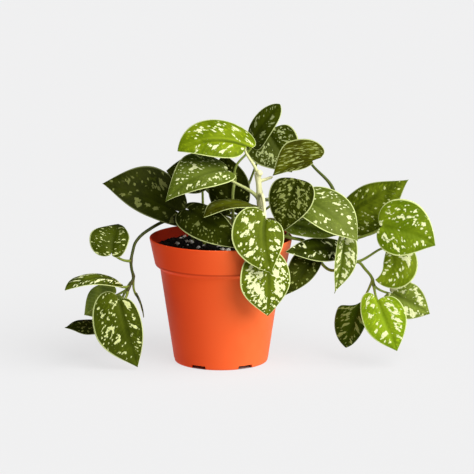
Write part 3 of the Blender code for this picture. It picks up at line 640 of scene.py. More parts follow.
def path_point(points, position):
    """A point on the smooth curve through the points."""
    last = len(points) - 1
    index = min(int(position), last - 1)
    t = position - index
    near = points[index]
    far = points[index + 1]
    before = points[index - 1] if index else near * 2 - far
    beyond = points[index + 2] if index + 2 <= last else far * 2 - near
    return 0.5 * (2 * near + (far - before) * t
                  + (2 * before - 5 * near + 4 * far - beyond) * t ** 2
                  + (3 * near - before - 3 * far + beyond) * t ** 3)


def even_samples(curve, start, end, step):
    """Points of a curve function at about the same distance from each other."""
    last = CURVE_STEPS
    fine = [curve(start + (end - start) * k / last) for k in range(last + 1)]
    travelled = [0.0]
    for near, far in zip(fine, fine[1:]):
        travelled.append(travelled[-1] + (far - near).length)
    count = max(3, round(travelled[-1] / step))
    chosen = []
    k = 0
    for number in range(count + 1):
        goal = travelled[-1] * number / count
        while k < last - 1 and travelled[k + 1] < goal:
            k += 1
        span = travelled[k + 1] - travelled[k]
        share = (goal - travelled[k]) / span if span else 0.0
        chosen.append(fine[k].lerp(fine[k + 1], min(max(share, 0.0), 1.0)))
    return chosen


def settle(item, node):
    """Registers a finished piece with the frame."""
    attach(item, "root")
    if node:
        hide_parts(node)


def new_object(name, data):
    item = bpy.data.objects.new(name, data)
    bpy.context.scene.collection.objects.link(item)
    return item


def blade_grid(leaf, rows, columns, wave, seed):
    """Rows of (point, along, across, share of the half, s), from the sinus edges to the tip."""
    blade = BladeFrame(leaf)
    draw = random.Random(seed)
    phases = [draw.uniform(0, 2 * math.pi) for _ in range(2)]
    turns = draw.uniform(*WAVE_TURNS)
    marks = []
    for row in range(rows):
        s = row / rows
        centre = s ** SWEEP
        fade = math.sin(math.pi * s) ** 0.5
        for column in range(-columns, columns + 1):
            u = abs(column) / columns
            sign = 1.0 if column > 0 else -1.0
            edge, reach = blade.edge(s, sign)
            along = centre + (edge - centre) * u
            across = (reach - sign * EDGE_INSET) * u
            deep = CHANNEL_DEPTH * min(1.0, 0.5 + 3 * s) * (1 - s * s)
            channel = -deep * math.exp(-(across / CHANNEL_WIDTH) ** 2)
            crown = CROWN_HEIGHT * math.sin(math.pi * u) ** 2 * fade
            ripple = wave * u ** 3 * math.sin(2 * math.pi * turns * s + phases[column > 0]) * fade
            point = blade.place(along, across, channel + crown + ripple - SINK)
            marks.append((point, along * blade.length, across, sign * u, s))
    tip = blade.place(1.0 - EDGE_INSET / blade.length, 0.0, -SINK)
    marks.append((tip, blade.length, 0.0, 0.0, 1.0))
    return marks


def blade_patches(rows, width):
    """The faces of a grid that ends in one tip point, seen from above."""
    patches = []
    for row in range(rows - 1):
        for column in range(width - 1):
            a = row * width + column
            patches.append((a, a + width, a + width + 1, a + 1))
    end = (rows - 1) * width
    for column in range(width - 1):
        patches.append((end + column, rows * width, end + column + 1))
    return patches


def blade_rim(rows, width):
    """The grid's border, from the right side of the base round the tip and back."""
    rim = [row * width for row in range(rows)]
    rim.append(rows * width)
    rim += [row * width + width - 1 for row in reversed(range(rows))]
    rim += list(range(width - 2, 0, -1))
    return rim


def point_normals(points, patches):
    """The direction that each point of a surface faces, from the patches round it."""
    normals = [Vector() for _ in points]
    for patch in patches:
        first = points[patch[0]]
        slope = (points[patch[1]] - first).cross(points[patch[-1]] - first)
        for corner in patch:
            normals[corner] += slope
    return [normal.normalized() for normal in normals]


def blade_faces(patches, rim, count):
    """Faces of the top, the underside and the rim, and the number of each one's material."""
    faces = list(patches)
    faces += [tuple(corner + count for corner in reversed(patch)) for patch in patches]
    sides = [0] * len(patches) + [1] * len(patches)
    for number, near in enumerate(rim):
        following = (number + 1) % len(rim)
        far = rim[following]
        near_out = 2 * count + number
        far_out = 2 * count + following
        faces.append((far, near, near_out, far_out))
        faces.append((far_out, near_out, near + count, far + count))
        sides += [0, 0]
    return faces, sides


def blade_mesh(leaf, rows, columns, thickness, wave, seed):
    """A closed blade: face, underside with a raised midrib, and a rounded rim."""
    width = 2 * columns + 1
    marks = blade_grid(leaf, rows, columns, wave, seed)
    patches = blade_patches(rows, width)
    rim = blade_rim(rows, width)
    flat = [mark[0] for mark in marks]
    normals = point_normals(flat, patches)
    upper = []
    lower = []
    for point, normal, mark in zip(flat, normals, marks):
        _, _, across, share, s = mark
        half = thickness / 2 * (1.0 - RIM_THINNING * share ** 4)
        rib = RIB_HEIGHT * math.exp(-(across / RIB_WIDTH) ** 2) * (1 - s)
        upper.append(point + normal * half)
        lower.append(point - normal * (half + rib))
    border = []
    for number, corner in enumerate(rim):
        before = flat[rim[number - 1]]
        after = flat[rim[(number + 1) % len(rim)]]
        outward = (after - before).cross(normals[corner]).normalized()
        border.append(flat[corner] + outward * thickness * RIM_BULGE)
    faces, sides = blade_faces(patches, rim, len(flat))
    marks = marks + marks + [marks[corner] for corner in rim]
    mesh = bpy.data.meshes.new(leaf.name)
    mesh.from_pydata([point * MM for point in upper + lower + border], [], faces)
    mesh.polygons.foreach_set("material_index", sides)
    mesh.update()
    mesh.shade_smooth()
    add_uv(mesh, "blade", [(0.5 + mark[2] / UV_SPAN, UV_START + mark[1] / UV_SPAN) for mark in marks])
    add_uv(mesh, "shape", [(0.5 + mark[3] / 2, mark[4]) for mark in marks])
    return mesh


def add_uv(mesh, name, pairs):
    """A UV map from one pair of numbers for each vertex."""
    layer = mesh.uv_layers.new(name=name)
    for loop in mesh.loops:
        layer.uv[loop.index].vector = pairs[loop.vertex_index]


def blade_place(shader):
    """Distances across and along the blade in mm, the share of its half and the reach to its tip."""
    u, v, _ = shader.uv("blade").parts()
    share, reach, _ = shader.uv("shape").parts()
    across = (u - 0.5) * UV_SPAN
    along = (v - UV_START) * UV_SPAN
    return across, along, (share * 2 - 1).math("ABSOLUTE"), reach


def vein_lines(out, along, degrees=VEIN_LEAN):
    """Distances along and off the side veins, which lean towards the tip."""
    lean = math.radians(degrees)
    with_vein = out * math.sin(lean) + along * math.cos(lean)
    off_vein = out * math.cos(lean) - along * math.sin(lean)
    return with_vein, off_vein


def vein_wave(off_vein, sway):
    """1 on each side vein and -1 halfway between two of them."""
    return (off_vein * (2 * math.pi / VEIN_SPACING) + sway).math("COSINE")


def large_spots(shader, x, y, room, seed):
    """Ragged islands; room is how far the cut goes below the level that leaves none."""
    place = shader.vector(x, y, seed)
    rough = shader.noise(place, 1.0, 3.0, 0.5)
    ragged = shader.noise(place, 4.5, 2.0)
    level = rough + ragged * 0.13 + room * 0.26
    return level.rise(0.775, 0.81)


def small_spots(shader, x, y, room, seed):
    """Scattered flecks, one at most in each cell; room is the share of cells that hold one."""
    bend = shader.noise(shader.vector(x, y, seed + 9.0), 1.6, 2.0) - 0.5
    distance, chance = shader.cells(shader.vector(x + bend * 0.9, y - bend * 0.9), 1.0)
    spare = room - chance
    return (spare * 0.45 + 0.22 - distance).rise(-0.03, 0.05) * spare.rise(-0.02, 0.04)


def dull(colour, paleness):
    """A green of the face as the underside shows it."""
    return tuple(UNDERSIDE_DEPTH * part + paleness for part in colour)


def scaled(colour, factor):
    return tuple(factor * part for part in colour)


def face_material(name, look, sizes):
    """The satin upper face: veined green with silvery cream spots and a pale margin."""
    shader = Shader(name, Specular_IOR_Level=look.sheen, Specular_Tint=SHEEN_TINT)
    across, along, share, reach = blade_place(shader)
    half = across.math("GREATER_THAN", 0.0)
    from_rib = across.math("ABSOLUTE")
    with_vein, off_vein = vein_lines(from_rib, along, look.lean)
    place = shader.vector(across, along, look.seed)
    clump = shader.noise(place, 0.11, 1.0)
    band = share.rise(0.02, look.bare) * share.fall(0.65, 1.08) * reach.fall(0.75, 1.08)
    cover = look.cover * sizes.spot_cover
    room = band * cover + (clump - 0.5) * 0.7
    x = with_vein * (1.0 / (look.size * look.stretch)) + half * HALF_SHIFT + look.seed
    y = off_vein * (1.0 / look.size) + look.seed * SEED_SHIFT
    large = large_spots(shader, x, y, room, look.seed)
    crowd = (band * 0.42 + 0.04) * cover * share.rise(0.03, 0.12)
    small = small_spots(shader, x * FLECK_FINENESS, y * FLECK_FINENESS, crowd, look.seed)
    spots = large.math("MAXIMUM", small)
    patchy = shader.noise(place, 0.06, 3.0).rise(0.35, 0.65)
    tone = patchy * 0.7 + reach.fall(0.0, 0.45) * 0.45 - share.rise(0.55, 1.0) * 0.35
    fine = shader.noise(shader.vector(with_vein * 0.35, off_vein * 1.6, look.seed), 1.0, 3.0)
    veins = vein_wave(off_vein, clump * 2.0)
    deep = scaled(look.green, look.tone * sizes.leaf_lightness)
    light = scaled(look.light, look.tone * sizes.leaf_lightness)
    green = shader.mix(tone.math("MAXIMUM", 0.0), deep, light)
    green = shader.mix(veins.rise(0.6, 1.0) * 0.18 + fine.rise(0.5, 0.8) * 0.25, green, light)
    # painted shade darkens the midrib's channel, and a painted highlight lightens a band beside it, as
    # the fold would shade and light them
    painted_rib_shade = reach.fall(0.4, 1.0) * look.painted_groove_shade
    green = shader.mix(from_rib.fall(0.6, 2.2) * painted_rib_shade * 0.8, green, scaled(deep, 0.6))
    green = shader.mix(from_rib.rise(1.6, 2.6) * from_rib.fall(2.6, 5.0) * painted_rib_shade * 0.8, green, light)
    speckle_place = shader.vector(x * SPECKLE_FINENESS, y * SPECKLE_FINENESS, look.seed + 5.0)
    speckle = shader.noise(speckle_place, 1.0, 3.0)
    green = shader.mix(speckle.rise(0.54, 0.66) * band * cover * 0.6, green, scaled(light, 2.2))
    shade = scaled(look.spot, 0.7)
    spot_colour = shader.mix(fine.rise(0.3, 0.62), shade, look.spot)
    colour = shader.mix(spots * 0.97, green, spot_colour)
    colour = shader.mix(share.rise(0.95, 0.975) * look.edge * 0.9, colour, tuple(sizes.margin_colour))
    roughness = fine * 0.14 + spots * 0.06 + 0.38
    relief = veins * 0.25 + fine * 0.5 - spots * 0.15
    return shader.finish(Base_Color=colour, Roughness=roughness, Normal=shader.bump(relief, 0.0002, 0.6))


def underside_material(name, dark, light, pale):
    """The plain duller underside, with paler veins."""
    shader = Shader(name, Specular_IOR_Level=0.1, Specular_Tint=SHEEN_TINT)
    across, along, share, _ = blade_place(shader)
    with_vein, off_vein = vein_lines(across.math("ABSOLUTE"), along)
    tone = shader.noise(shader.vector(across, along), 0.09, 3.0)
    fine = shader.noise(shader.vector(with_vein * 0.4, off_vein * 1.5), 1.1, 3.0)
    veins = vein_wave(off_vein, tone * 3.0).rise(0.75, 1.0)
    colour = shader.mix(tone.rise(0.3, 0.7), dark, light)
    colour = shader.mix(veins * 0.08 + share.fall(0.0, 0.05) * 0.5, colour, pale)
    relief = veins * 0.22 + fine * 0.4
    return shader.finish(Base_Color=colour, Roughness=fine * 0.15 + 0.5,
                         Normal=shader.bump(relief, 0.0002, 0.7))


def stem_material(sizes):
    """Stems: cream where young, olive where old, streaked lengthways."""
    shader = Shader("stem_skin", Specular_IOR_Level=0.25)
    tone = shader.attribute("tone")
    joint = shader.attribute("joint")
    place = shader.place()
    broad = shader.noise(place, 90.0, 2.0)
    fine = shader.noise(place, 900.0, 3.0)
    green = tuple(sizes.stem_colour)
    colour = shader.mix(tone.rise(0.0, 0.5), STEM_OLD, green)
    colour = shader.mix(tone.rise(0.5, 1.0), colour, tuple(sizes.young_stem_colour))
    colour = shader.mix(broad.rise(0.45, 0.75) * tone.fall(0.4, 0.8) * 0.35, colour, STEM_OLD)
    colour = shader.mix(fine.rise(0.5, 0.8) * 0.2, colour, green)
    colour = shader.mix(joint * 0.45, colour, STEM_SCAR)
    return shader.finish(Base_Color=colour, Roughness=fine * 0.2 + 0.38,
                         Normal=shader.bump(fine * 0.6 + broad, 0.0003, 0.6))


def pot_material(sizes):
    """Satin plastic: painted light makes it paler on the right side, where the key light falls; painted
    shade makes it darker and redder inside the collar and in a line under its foot.
    """
    shader = Shader("pot_plastic", Specular_IOR_Level=0.08, Specular_Tint=POT_SHEEN_TINT)
    place = shader.place()
    x, y, z = place.parts()
    smudge = shader.noise(place, 26.0, 4.0, 0.6)
    grain = shader.noise(place, 1800.0, 2.0)
    streak = shader.noise(shader.vector(x * 60, y * 60, z * 9), 1.0, 3.0)
    # painted light: the pot turns paler towards +X, the side the key light falls on
    colour = shader.mix(x.rise(-0.05, 0.048), tuple(sizes.pot_colour), tuple(sizes.painted_lit_pot_colour))
    colour = shader.mix(smudge.rise(0.35, 0.7) * 0.25, colour, POT_SMUDGE)
    colour = shader.mix(streak.rise(0.62, 0.85) * 0.10, colour, POT_DUST)
    # painted shade: a dark line on the wall just under the collar's foot, where the collar shades it
    below_collar = z * (1.0 / MM) - COLLAR_FOOT_HEIGHT
    painted_collar_shade = below_collar.rise(-1.7, -0.9) * below_collar.fall(0.0, 0.4)
    colour = shader.mix(painted_collar_shade * 0.55, colour, POT_PAINTED_COLLAR_SHADE)
    # painted shade: the inside of the collar is darker and redder than the outside
    radius = (x * x + y * y) ** 0.5
    middle = (z - COLLAR_FOOT_HEIGHT * MM) * COLLAR_SLOPE + (COLLAR_FOOT_RADIUS - WALL / 2) * MM
    inside = radius.math("LESS_THAN", middle) * z.math("GREATER_THAN", (COLLAR_FOOT_HEIGHT + 4.0) * MM)
    colour = shader.mix(inside, colour, POT_PAINTED_INSIDE_SHADE)
    roughness = smudge.rise(0.3, 0.75) * 0.1 + grain * 0.06 + 0.42
    return shader.finish(Base_Color=colour, Roughness=roughness,
                         Normal=shader.bump(grain * 0.4 + smudge, 0.0001, 0.35))


def peat_material():
    """Dark damp peat."""
    shader = Shader("damp_peat", Specular_IOR_Level=0.25)
    place = shader.place()
    crumb = shader.noise(place, 420.0, 4.0, 0.65)
    broad = shader.noise(place, 60.0, 2.0)
    colour = shader.mix(crumb.rise(0.4, 0.75), PEAT_DARK, PEAT_LIGHT)
    colour = shader.mix(broad.rise(0.5, 0.8) * 0.4, colour, PEAT_BROWN)
    return shader.finish(Base_Color=colour, Roughness=crumb * 0.2 + 0.75,
                         Normal=shader.bump(crumb, 0.0012, 0.9))


def perlite_material():
    """White expanded grains, dusty in their pits."""
    shader = Shader("perlite", Specular_IOR_Level=0.3)
    place = shader.place()
    pits = shader.noise(place, 1100.0, 3.0, 0.6)
    stain = shader.noise(place, 180.0, 2.0)
    colour = shader.mix(pits.rise(0.35, 0.6), PERLITE_PIT, PERLITE_WHITE)
    colour = shader.mix(stain.rise(0.55, 0.8) * 0.5, colour, PERLITE_STAIN)
    return shader.finish(Base_Color=colour, Roughness=pits * 0.2 + 0.7,
                         Normal=shader.bump(pits, 0.0006, 0.8))


def floor_material():
    """A pale studio floor that shows only faint shadows, but is dark under the pot."""
    shader = Shader("studio_floor", Roughness=0.9, Specular_IOR_Level=0.1)
    place = shader.place()
    x, y, _ = place.parts()
    grain = shader.noise(place, 0.8, 2.0)
    clear = ((x * x + y * y) ** 0.5 * (1.0 / MM)).rise(BASE_RADIUS - 1.6, BASE_RADIUS - 0.2)
    colour = shader.mix(grain, FLOOR_DARK, FLOOR_LIGHT)
    glow = shader.node("Emission", {}, {"Color": FLOOR_GLOW, "Strength": 1.0})
    blend = shader.node("MixShader", {}, {0: clear * FLOOR_GLOW_SHARE})
    output = shader.tree.nodes["Material Output"]
    shader.tree.links.new(shader.surface.outputs[0], blend.inputs[1])
    shader.tree.links.new(glow.outputs[0], blend.inputs[2])
    shader.tree.links.new(blend.outputs[0], output.inputs["Surface"])
    return shader.finish(Base_Color=colour)


def applied(item, step):
    """The mesh that an object's modifier makes; the modifier is removed."""
    depsgraph = bpy.context.evaluated_depsgraph_get()
    mesh = bpy.data.meshes.new_from_object(item.evaluated_get(depsgraph))
    item.modifiers.remove(step)
    return mesh


class Tree:
    """A geometry node tree under construction."""

    def __init__(self, name, inputs):
        self.group = bpy.data.node_groups.new(name, "GeometryNodeTree")
        face = self.group.interface
        face.new_socket("Geometry", in_out="INPUT", socket_type="NodeSocketGeometry")
        for label, kind, value in inputs:
            socket = face.new_socket(label, in_out="INPUT", socket_type=kind)
            socket.default_value = value
        face.new_socket("Geometry", in_out="OUTPUT", socket_type="NodeSocketGeometry")
        self.source = self.group.nodes.new("NodeGroupInput")
        self.result = self.group.nodes.new("NodeGroupOutput")

    def given(self, label):
        return self.source.outputs[label]

    def node(self, kind, settings=None, values=None):
        node = self.group.nodes.new(kind)
        for name, setting in (settings or {}).items():
            setattr(node, name, setting)
        for name, value in (values or {}).items():
            if isinstance(value, bpy.types.NodeSocket):
                self.group.links.new(value, node.inputs[name])
            else:
                node.inputs[name].default_value = value
        return node

    def close(self, geometry, look):
        """Ends the tree in real geometry with its material."""
        real = self.node("GeometryNodeRealizeInstances", {}, {"Geometry": geometry})
        dressed = self.node("GeometryNodeSetMaterial", {},
                            {"Geometry": real.outputs[0], "Material": look})
        self.group.links.new(dressed.outputs[0], self.result.inputs[0])

    def run(self, item, **values):
        """The tree's result on an object as a plain mesh."""
        step = item.modifiers.new("shape", "NODES")
        step.node_group = self.group
        sockets = {socket.name: socket.identifier for socket in self.group.interface.items_tree
                   if socket.in_out == "INPUT"}
        for label, value in values.items():
            step[sockets[label]] = value
        return applied(item, step)


def tube_tree(look):
    """Sweeps a round section along every path, as thick as the path's own radius says."""
    tree = Tree("Stem tube", [("Sides", "NodeSocketInt", 12)])
    radius = tree.node("GeometryNodeInputNamedAttribute", {"data_type": "FLOAT"}, {"Name": "thickness"})
    curve = tree.node("GeometryNodeMeshToCurve", {}, {"Mesh": tree.given("Geometry")})
    sized = tree.node("GeometryNodeSetCurveRadius", {},
                      {"Curve": curve.outputs[0], "Radius": radius.outputs["Attribute"]})
    section = tree.node("GeometryNodeCurvePrimitiveCircle", {"mode": "RADIUS"},
                        {"Resolution": tree.given("Sides"), "Radius": 1.0})
    scale = tree.node("GeometryNodeInputRadius")
    sweep = tree.node("GeometryNodeCurveToMesh", {},
                      {"Curve": sized.outputs[0], "Profile Curve": section.outputs[0],
                       "Scale": scale.outputs[0], "Fill Caps": True})
    smooth = tree.node("GeometryNodeSetShadeSmooth", {}, {"Geometry": sweep.outputs[0]})
    tree.close(smooth.outputs[0], look)
    return tree


def vine_path(vine):
    """The vine's points, with its straight root in the soil."""
    x, y = vine.points[0]
    root = [Vector((x, y, HOLE_BOTTOM + ROOT_LIFT)), Vector((x, y, SOIL_LEVEL + ROOT_LIFT))]
    return root + [Vector(point) for point in vine.points[1:]]


def main_line(vine, points, starts):
    """The stem itself, thicker at the joint where each stalk starts."""
    path = even_samples(lambda t: path_point(points, t), 0, len(points) - 1, STEM_STEP)
    line = []
    for k, point in enumerate(path):
        share = k / (len(path) - 1)
        near = min((point - start).length for start in starts)
        swell = math.exp(-(near / (JOINT_REACH * vine.radius)) ** 2)
        radius = vine.radius * (1.0 - TAPER * share) * (1.0 + JOINT_SWELL * swell)
        if k == len(path) - 1:
            radius *= STEM_END
        line.append((point, radius, vine.tone, swell * (1.0 - vine.tone)))
    return line


def stalk_line(petiole, start, leaf):
    """A leaf stalk from its joint to the seat under its blade."""
    centre, arrival = BladeFrame(leaf).seat()
    reach = (centre - start).length * petiole.slack
    handles = (start + Vector(petiole.leaving).normalized() * reach, centre - arrival * reach)
    stalk = even_samples(lambda t: bezier(start, *handles, centre, t), 0, 1, STEM_STEP)
    foot = PETIOLE_START * petiole.foot
    line = []
    for k, point in enumerate(stalk):
        share = k / (len(stalk) - 1)
        swell = FOOT_SWELL * math.exp(-(share / FOOT_REACH) ** 2)
        radius = foot + (PETIOLE_END - foot) * share
        radius *= 1.0 + swell - STALK_WAIST * math.sin(math.pi * share)
        if k == len(stalk) - 1:
            radius *= STALK_END
        scar = STALK_SCAR * math.exp(-(share / SCAR_REACH) ** 2)
        line.append((point, radius, petiole.tone, scar))
    return line


def shoot_line(start, end):
    """A bare young shoot with a blunt round end."""
    line = []
    for k in range(SHOOT_STEPS + 1):
        share = k / SHOOT_STEPS
        past = max(0.0, (share - (1.0 - SHOOT_BLUNT)) / SHOOT_BLUNT)
        blunt = math.sqrt(max(SHOOT_END ** 2, 1.0 - past ** 2))
        radius = SHOOT_RADIUS * (1.0 - SHOOT_TAPER * share) * blunt
        line.append((start.lerp(Vector(end), share), radius, SHOOT_TONE, 0.0))
    return line


def bud_line(centre, size, tone):
    """A round bud."""
    line = []
    for k in range(BUD_STEPS + 1):
        turn = math.pi * k / BUD_STEPS
        point = Vector(centre) - BUD_AXIS * size * math.cos(turn)
        line.append((point, size * max(BUD_END, math.sin(turn)), tone, 0.0))
    return line


def stem_lines(vine):
    """Paths of one vine as lists of (point, radius, tone, joint)."""
    points = vine_path(vine)
    starts = [path_point(points, petiole.start + 1) for petiole in vine.petioles]
    leaves = {leaf.name: leaf for leaf in LEAVES}
    lines = [main_line(vine, points, starts)]
    lines += [stalk_line(petiole, start, leaves[petiole.leaf])
              for petiole, start in zip(vine.petioles, starts)]
    lines += [shoot_line(path_point(points, start + 1), end) for start, end in vine.shoots]
    lines += [bud_line(centre, size, vine.tone) for centre, size in vine.buds]
    return lines


def line_object(name, lines):
    """An object of bare paths that carry their thickness, tone and joints."""
    points = []
    edges = []
    for line in lines:
        first = len(points)
        points += line
        edges += [(first + k, first + k + 1) for k in range(len(line) - 1)]
    mesh = bpy.data.meshes.new(name)
    mesh.from_pydata([point[0] * MM for point in points], edges, [])
    for label, column, unit in (("thickness", 1, MM), ("tone", 2, 1.0), ("joint", 3, 1.0)):
        layer = mesh.attributes.new(label, "FLOAT", "POINT")
        layer.data.foreach_set("value", [point[column] * unit for point in points])
    return new_object(name, mesh)


def ring_body(profile, sides, height_at=None):
    """Points and faces of a body turned round Z from a profile that starts and ends on the axis."""
    points = []
    rings = []
    for radius, height in profile:
        if radius == 0:
            rings.append([len(points)] * sides)
            points.append(Vector((0, 0, height)))
            continue
        rings.append(list(range(len(points), len(points) + sides)))
        for step in range(sides):
            angle = 2 * math.pi * step / sides
            points.append(Vector((radius * math.cos(angle), radius * math.sin(angle), height)))
    faces = []
    for lower, upper in zip(rings, rings[1:]):
        for step in range(sides):
            following = (step + 1) % sides
            corners = [lower[step], lower[following], upper[following], upper[step]]
            faces.append(list(dict.fromkeys(corners)))
    if height_at:
        points = [Vector((x, y, height_at(x, y, z))) for x, y, z in points]
    return points, faces


def body_object(name, points, faces, look=None):
    mesh = bpy.data.meshes.new(name)
    mesh.from_pydata([point * MM for point in points], [], faces)
    mesh.update()
    if look:
        mesh.materials.append(look)
    return new_object(name, mesh)


def fillet(corners):
    """A profile whose corners (radius, height, rounding) are turned into small arcs."""
    rounded = []
    for number, (radius, height, size) in enumerate(corners):
        here = Vector((radius, height))
        if not size or number in (0, len(corners) - 1):
            rounded.append((radius, height))
            continue
        before = Vector(corners[number - 1][:2])
        after = Vector(corners[number + 1][:2])
        size = min(size, 0.45 * (before - here).length, 0.45 * (after - here).length)
        start = here + (before - here).normalized() * size
        end = here + (after - here).normalized() * size
        for k in range(ROUND_STEPS + 1):
            t = k / ROUND_STEPS
            point = start * (1 - t) ** 2 + here * 2 * t * (1 - t) + end * t ** 2
            rounded.append((point.x, point.y))
    return rounded


def outer_radius(height):
    """The wall's outside below the step."""
    return BASE_RADIUS + (STEP_RADIUS - BASE_RADIUS) * height / STEP_HEIGHT


def inner_wall():
    """The pot's inside from the floor's corner to the top of the collar, with roundings."""
    floor = CHANNEL_HEIGHT + FLOOR_THICKNESS
    return [
        (outer_radius(floor) - WALL - FLOOR_CORNER_WIDTH, floor, 1.0),
        (outer_radius(floor + FLOOR_CORNER_HEIGHT) - WALL, floor + FLOOR_CORNER_HEIGHT, 1.0),
        (STEP_RADIUS - WALL, STEP_HEIGHT + 0.6, 0.8),
        (STEP_RADIUS + STEP_OUT - WALL, STEP_HEIGHT + 2.6, 0.8),
        (COLLAR_FOOT_RADIUS + COLLAR_SWELL - WALL, COLLAR_FOOT_HEIGHT + 0.9, 0.8),
        (RIM_RADIUS - WALL, POT_HEIGHT - 0.4, 0.5),
    ]


def pot_profile():
    """The pot's whole section as (radius, height, rounding), from the axis below to the axis inside."""
    outside = [
        (0, 0, 0),
        (PAD_RADIUS, 0, 0.5),
        (PAD_RADIUS + CHANNEL_SLOPE, CHANNEL_HEIGHT, 0.5),
        (FOOT_RING_INNER - 0.6, CHANNEL_HEIGHT, 0.5),
        (FOOT_RING_INNER, 0, 0.3),
        (BASE_RADIUS - 0.4, 0, 1.0),
        (outer_radius(1.5), 1.5, 0.8),
        (STEP_RADIUS, STEP_HEIGHT, 0.8),
        (STEP_RADIUS + STEP_OUT, STEP_HEIGHT + STEP_OUT, 0.6),
        (COLLAR_FOOT_RADIUS - 1.1, STEP_HEIGHT + 2.3, 0.8),
        (COLLAR_FOOT_RADIUS - 0.1, COLLAR_FOOT_HEIGHT - 0.9, 0.8),
        (COLLAR_FOOT_RADIUS + COLLAR_SWELL, COLLAR_FOOT_HEIGHT + 0.8, 0.8),
        (RIM_RADIUS, POT_HEIGHT - 0.7, 0.5),
        (RIM_RADIUS - RIM_ROUND, POT_HEIGHT, 0.5),
    ]
    floor = [
        (PAD_RADIUS + 1.6, CHANNEL_HEIGHT + FLOOR_THICKNESS, 0.5),
        (PAD_RADIUS, FLOOR_THICKNESS, 0.5),
        (0, FLOOR_THICKNESS, 0),
    ]
    return fillet(outside + inner_wall()[::-1] + floor)


def cut_away(target, tools):
    """Cuts every tool out of the target at once and removes the tools."""
    group = bpy.data.collections.new("pot_cutters")
    bpy.context.scene.collection.children.link(group)
    for tool in tools:
        bpy.context.scene.collection.objects.unlink(tool)
        group.objects.link(tool)
    step = target.modifiers.new("cut", "BOOLEAN")
    step.operation = "DIFFERENCE"
    step.operand_type = "COLLECTION"
    step.collection = group
    step.solver = "EXACT"
    target.data = applied(target, step)
    for tool in tools:
        bpy.data.objects.remove(tool, do_unlink=True)
    bpy.data.collections.remove(group)


def pot_cutters():
    """Blocks for the notches in the foot and plugs for the drain holes."""
    tools = []
    for number in range(NOTCH_COUNT):
        angle = math.radians(FIRST_NOTCH_DEGREES - 90 + 360 / NOTCH_COUNT * number)
        away = Vector((math.cos(angle), math.sin(angle), 0))
        aside = Vector((-math.sin(angle), math.cos(angle), 0))
        points = []
        for x in (-0.5, 0.5):
            for y in (-0.5, 0.5):
                for z, spread in ((-NOTCH_BELOW, 1.0), (NOTCH_HEIGHT, NOTCH_TOP_WIDTH)):
                    points.append(away * (BASE_RADIUS + x * NOTCH_DEPTH)
                                  + aside * (y * NOTCH_WIDTH * spread) + Vector((0, 0, z)))
        faces = [(0, 1, 3, 2), (4, 6, 7, 5), (0, 4, 5, 1), (2, 3, 7, 6), (0, 2, 6, 4), (1, 5, 7, 3)]
        tools.append(body_object("notch", points, faces))
        low, high = DRAIN_CUT
        plug = [(0, low), (DRAIN_RADIUS, low), (DRAIN_RADIUS, high), (0, high)]
        points, faces = ring_body(plug, DRAIN_SIDES)
        tools.append(body_object("drain", [point + away * DRAIN_CIRCLE for point in points], faces))
    return tools


def soil_height(x, y, level):
    """Gentle clods over the top of the soil."""
    if level < SOIL_LEVEL:
        return level
    clods = math.sin(0.31 * x + 1.0) * math.cos(0.27 * y) + 0.6 * math.sin(0.52 * y + 0.4 * x)
    lumps = 0.35 * math.sin(1.3 * x + 0.6 * y) * math.sin(1.1 * y - 0.5 * x + 2.0)
    return level + CLOD_HEIGHT * clods + lumps


def soil_profile(rings):
    """The soil's section inside the pot's wall, and the radius of its edge."""
    wall = [corner[:2] for corner in inner_wall()]
    profile = [(0, wall[0][1] + CLEARANCE)]
    profile += [(radius - SOIL_INSET, height + CLEARANCE) for radius, height in wall[:-1]]
    (low_radius, low_height), (high_radius, high_height) = wall[-2:]
    edge_height = SOIL_LEVEL - SOIL_EDGE_DROP
    share = (edge_height - low_height) / (high_height - low_height)
    edge = low_radius + (high_radius - low_radius) * share - SOIL_INSET
    profile.append((edge, edge_height))
    for ring in range(rings):
        profile.append(((edge - SOIL_EDGE_WIDTH) * (1 - ring / rings), SOIL_LEVEL))
    profile.append((0, SOIL_LEVEL))
    return profile, edge


def scatter_tree(name, look):
    """Strews rough lumps of several sizes over a surface."""
    tree = Tree(name, [("Density", "NodeSocketFloat", 1000.0), ("Smallest", "NodeSocketFloat", 0.0005),
                       ("Largest", "NodeSocketFloat", 0.0015), ("Seed", "NodeSocketInt", 1)])
    spread = tree.node("GeometryNodeDistributePointsOnFaces", {"distribute_method": "RANDOM"},
                       {"Mesh": tree.given("Geometry"), "Density": tree.given("Density"),
                        "Seed": tree.given("Seed")})
    lump = tree.node("GeometryNodeMeshIcoSphere", {}, {"Radius": 1.0, "Subdivisions": 2})
    place = tree.node("GeometryNodeInputPosition")
    bumps = tree.node("ShaderNodeTexNoise", {"noise_dimensions": "3D"},
                      {"Vector": place.outputs[0], "Scale": 1.3, "Detail": 2.0})
    centred = tree.node("ShaderNodeVectorMath", {"operation": "SUBTRACT"},
                        {0: bumps.outputs["Color"], 1: (0.5, 0.5, 0.5)})
    offset = tree.node("ShaderNodeVectorMath", {"operation": "SCALE"},
                       {0: centred.outputs[0], "Scale": 1.1})
    rough = tree.node("GeometryNodeSetPosition", {},
                      {"Geometry": lump.outputs["Mesh"], "Offset": offset.outputs[0]})
    turn = tree.node("FunctionNodeRandomValue", {"data_type": "FLOAT_VECTOR"},
                     {"Min": (0.0, 0.0, 0.0), "Max": (6.28, 6.28, 6.28), "Seed": 5})
    size = tree.node("FunctionNodeRandomValue", {"data_type": "FLOAT"},
                     {2: tree.given("Smallest"), 3: tree.given("Largest"), "Seed": 8})
    strewn = tree.node("GeometryNodeInstanceOnPoints", {},
                       {"Points": spread.outputs["Points"], "Instance": rough.outputs[0],
                        "Rotation": turn.outputs[0], "Scale": size.outputs[1]})
    tree.close(strewn.outputs[0], look)
    return tree


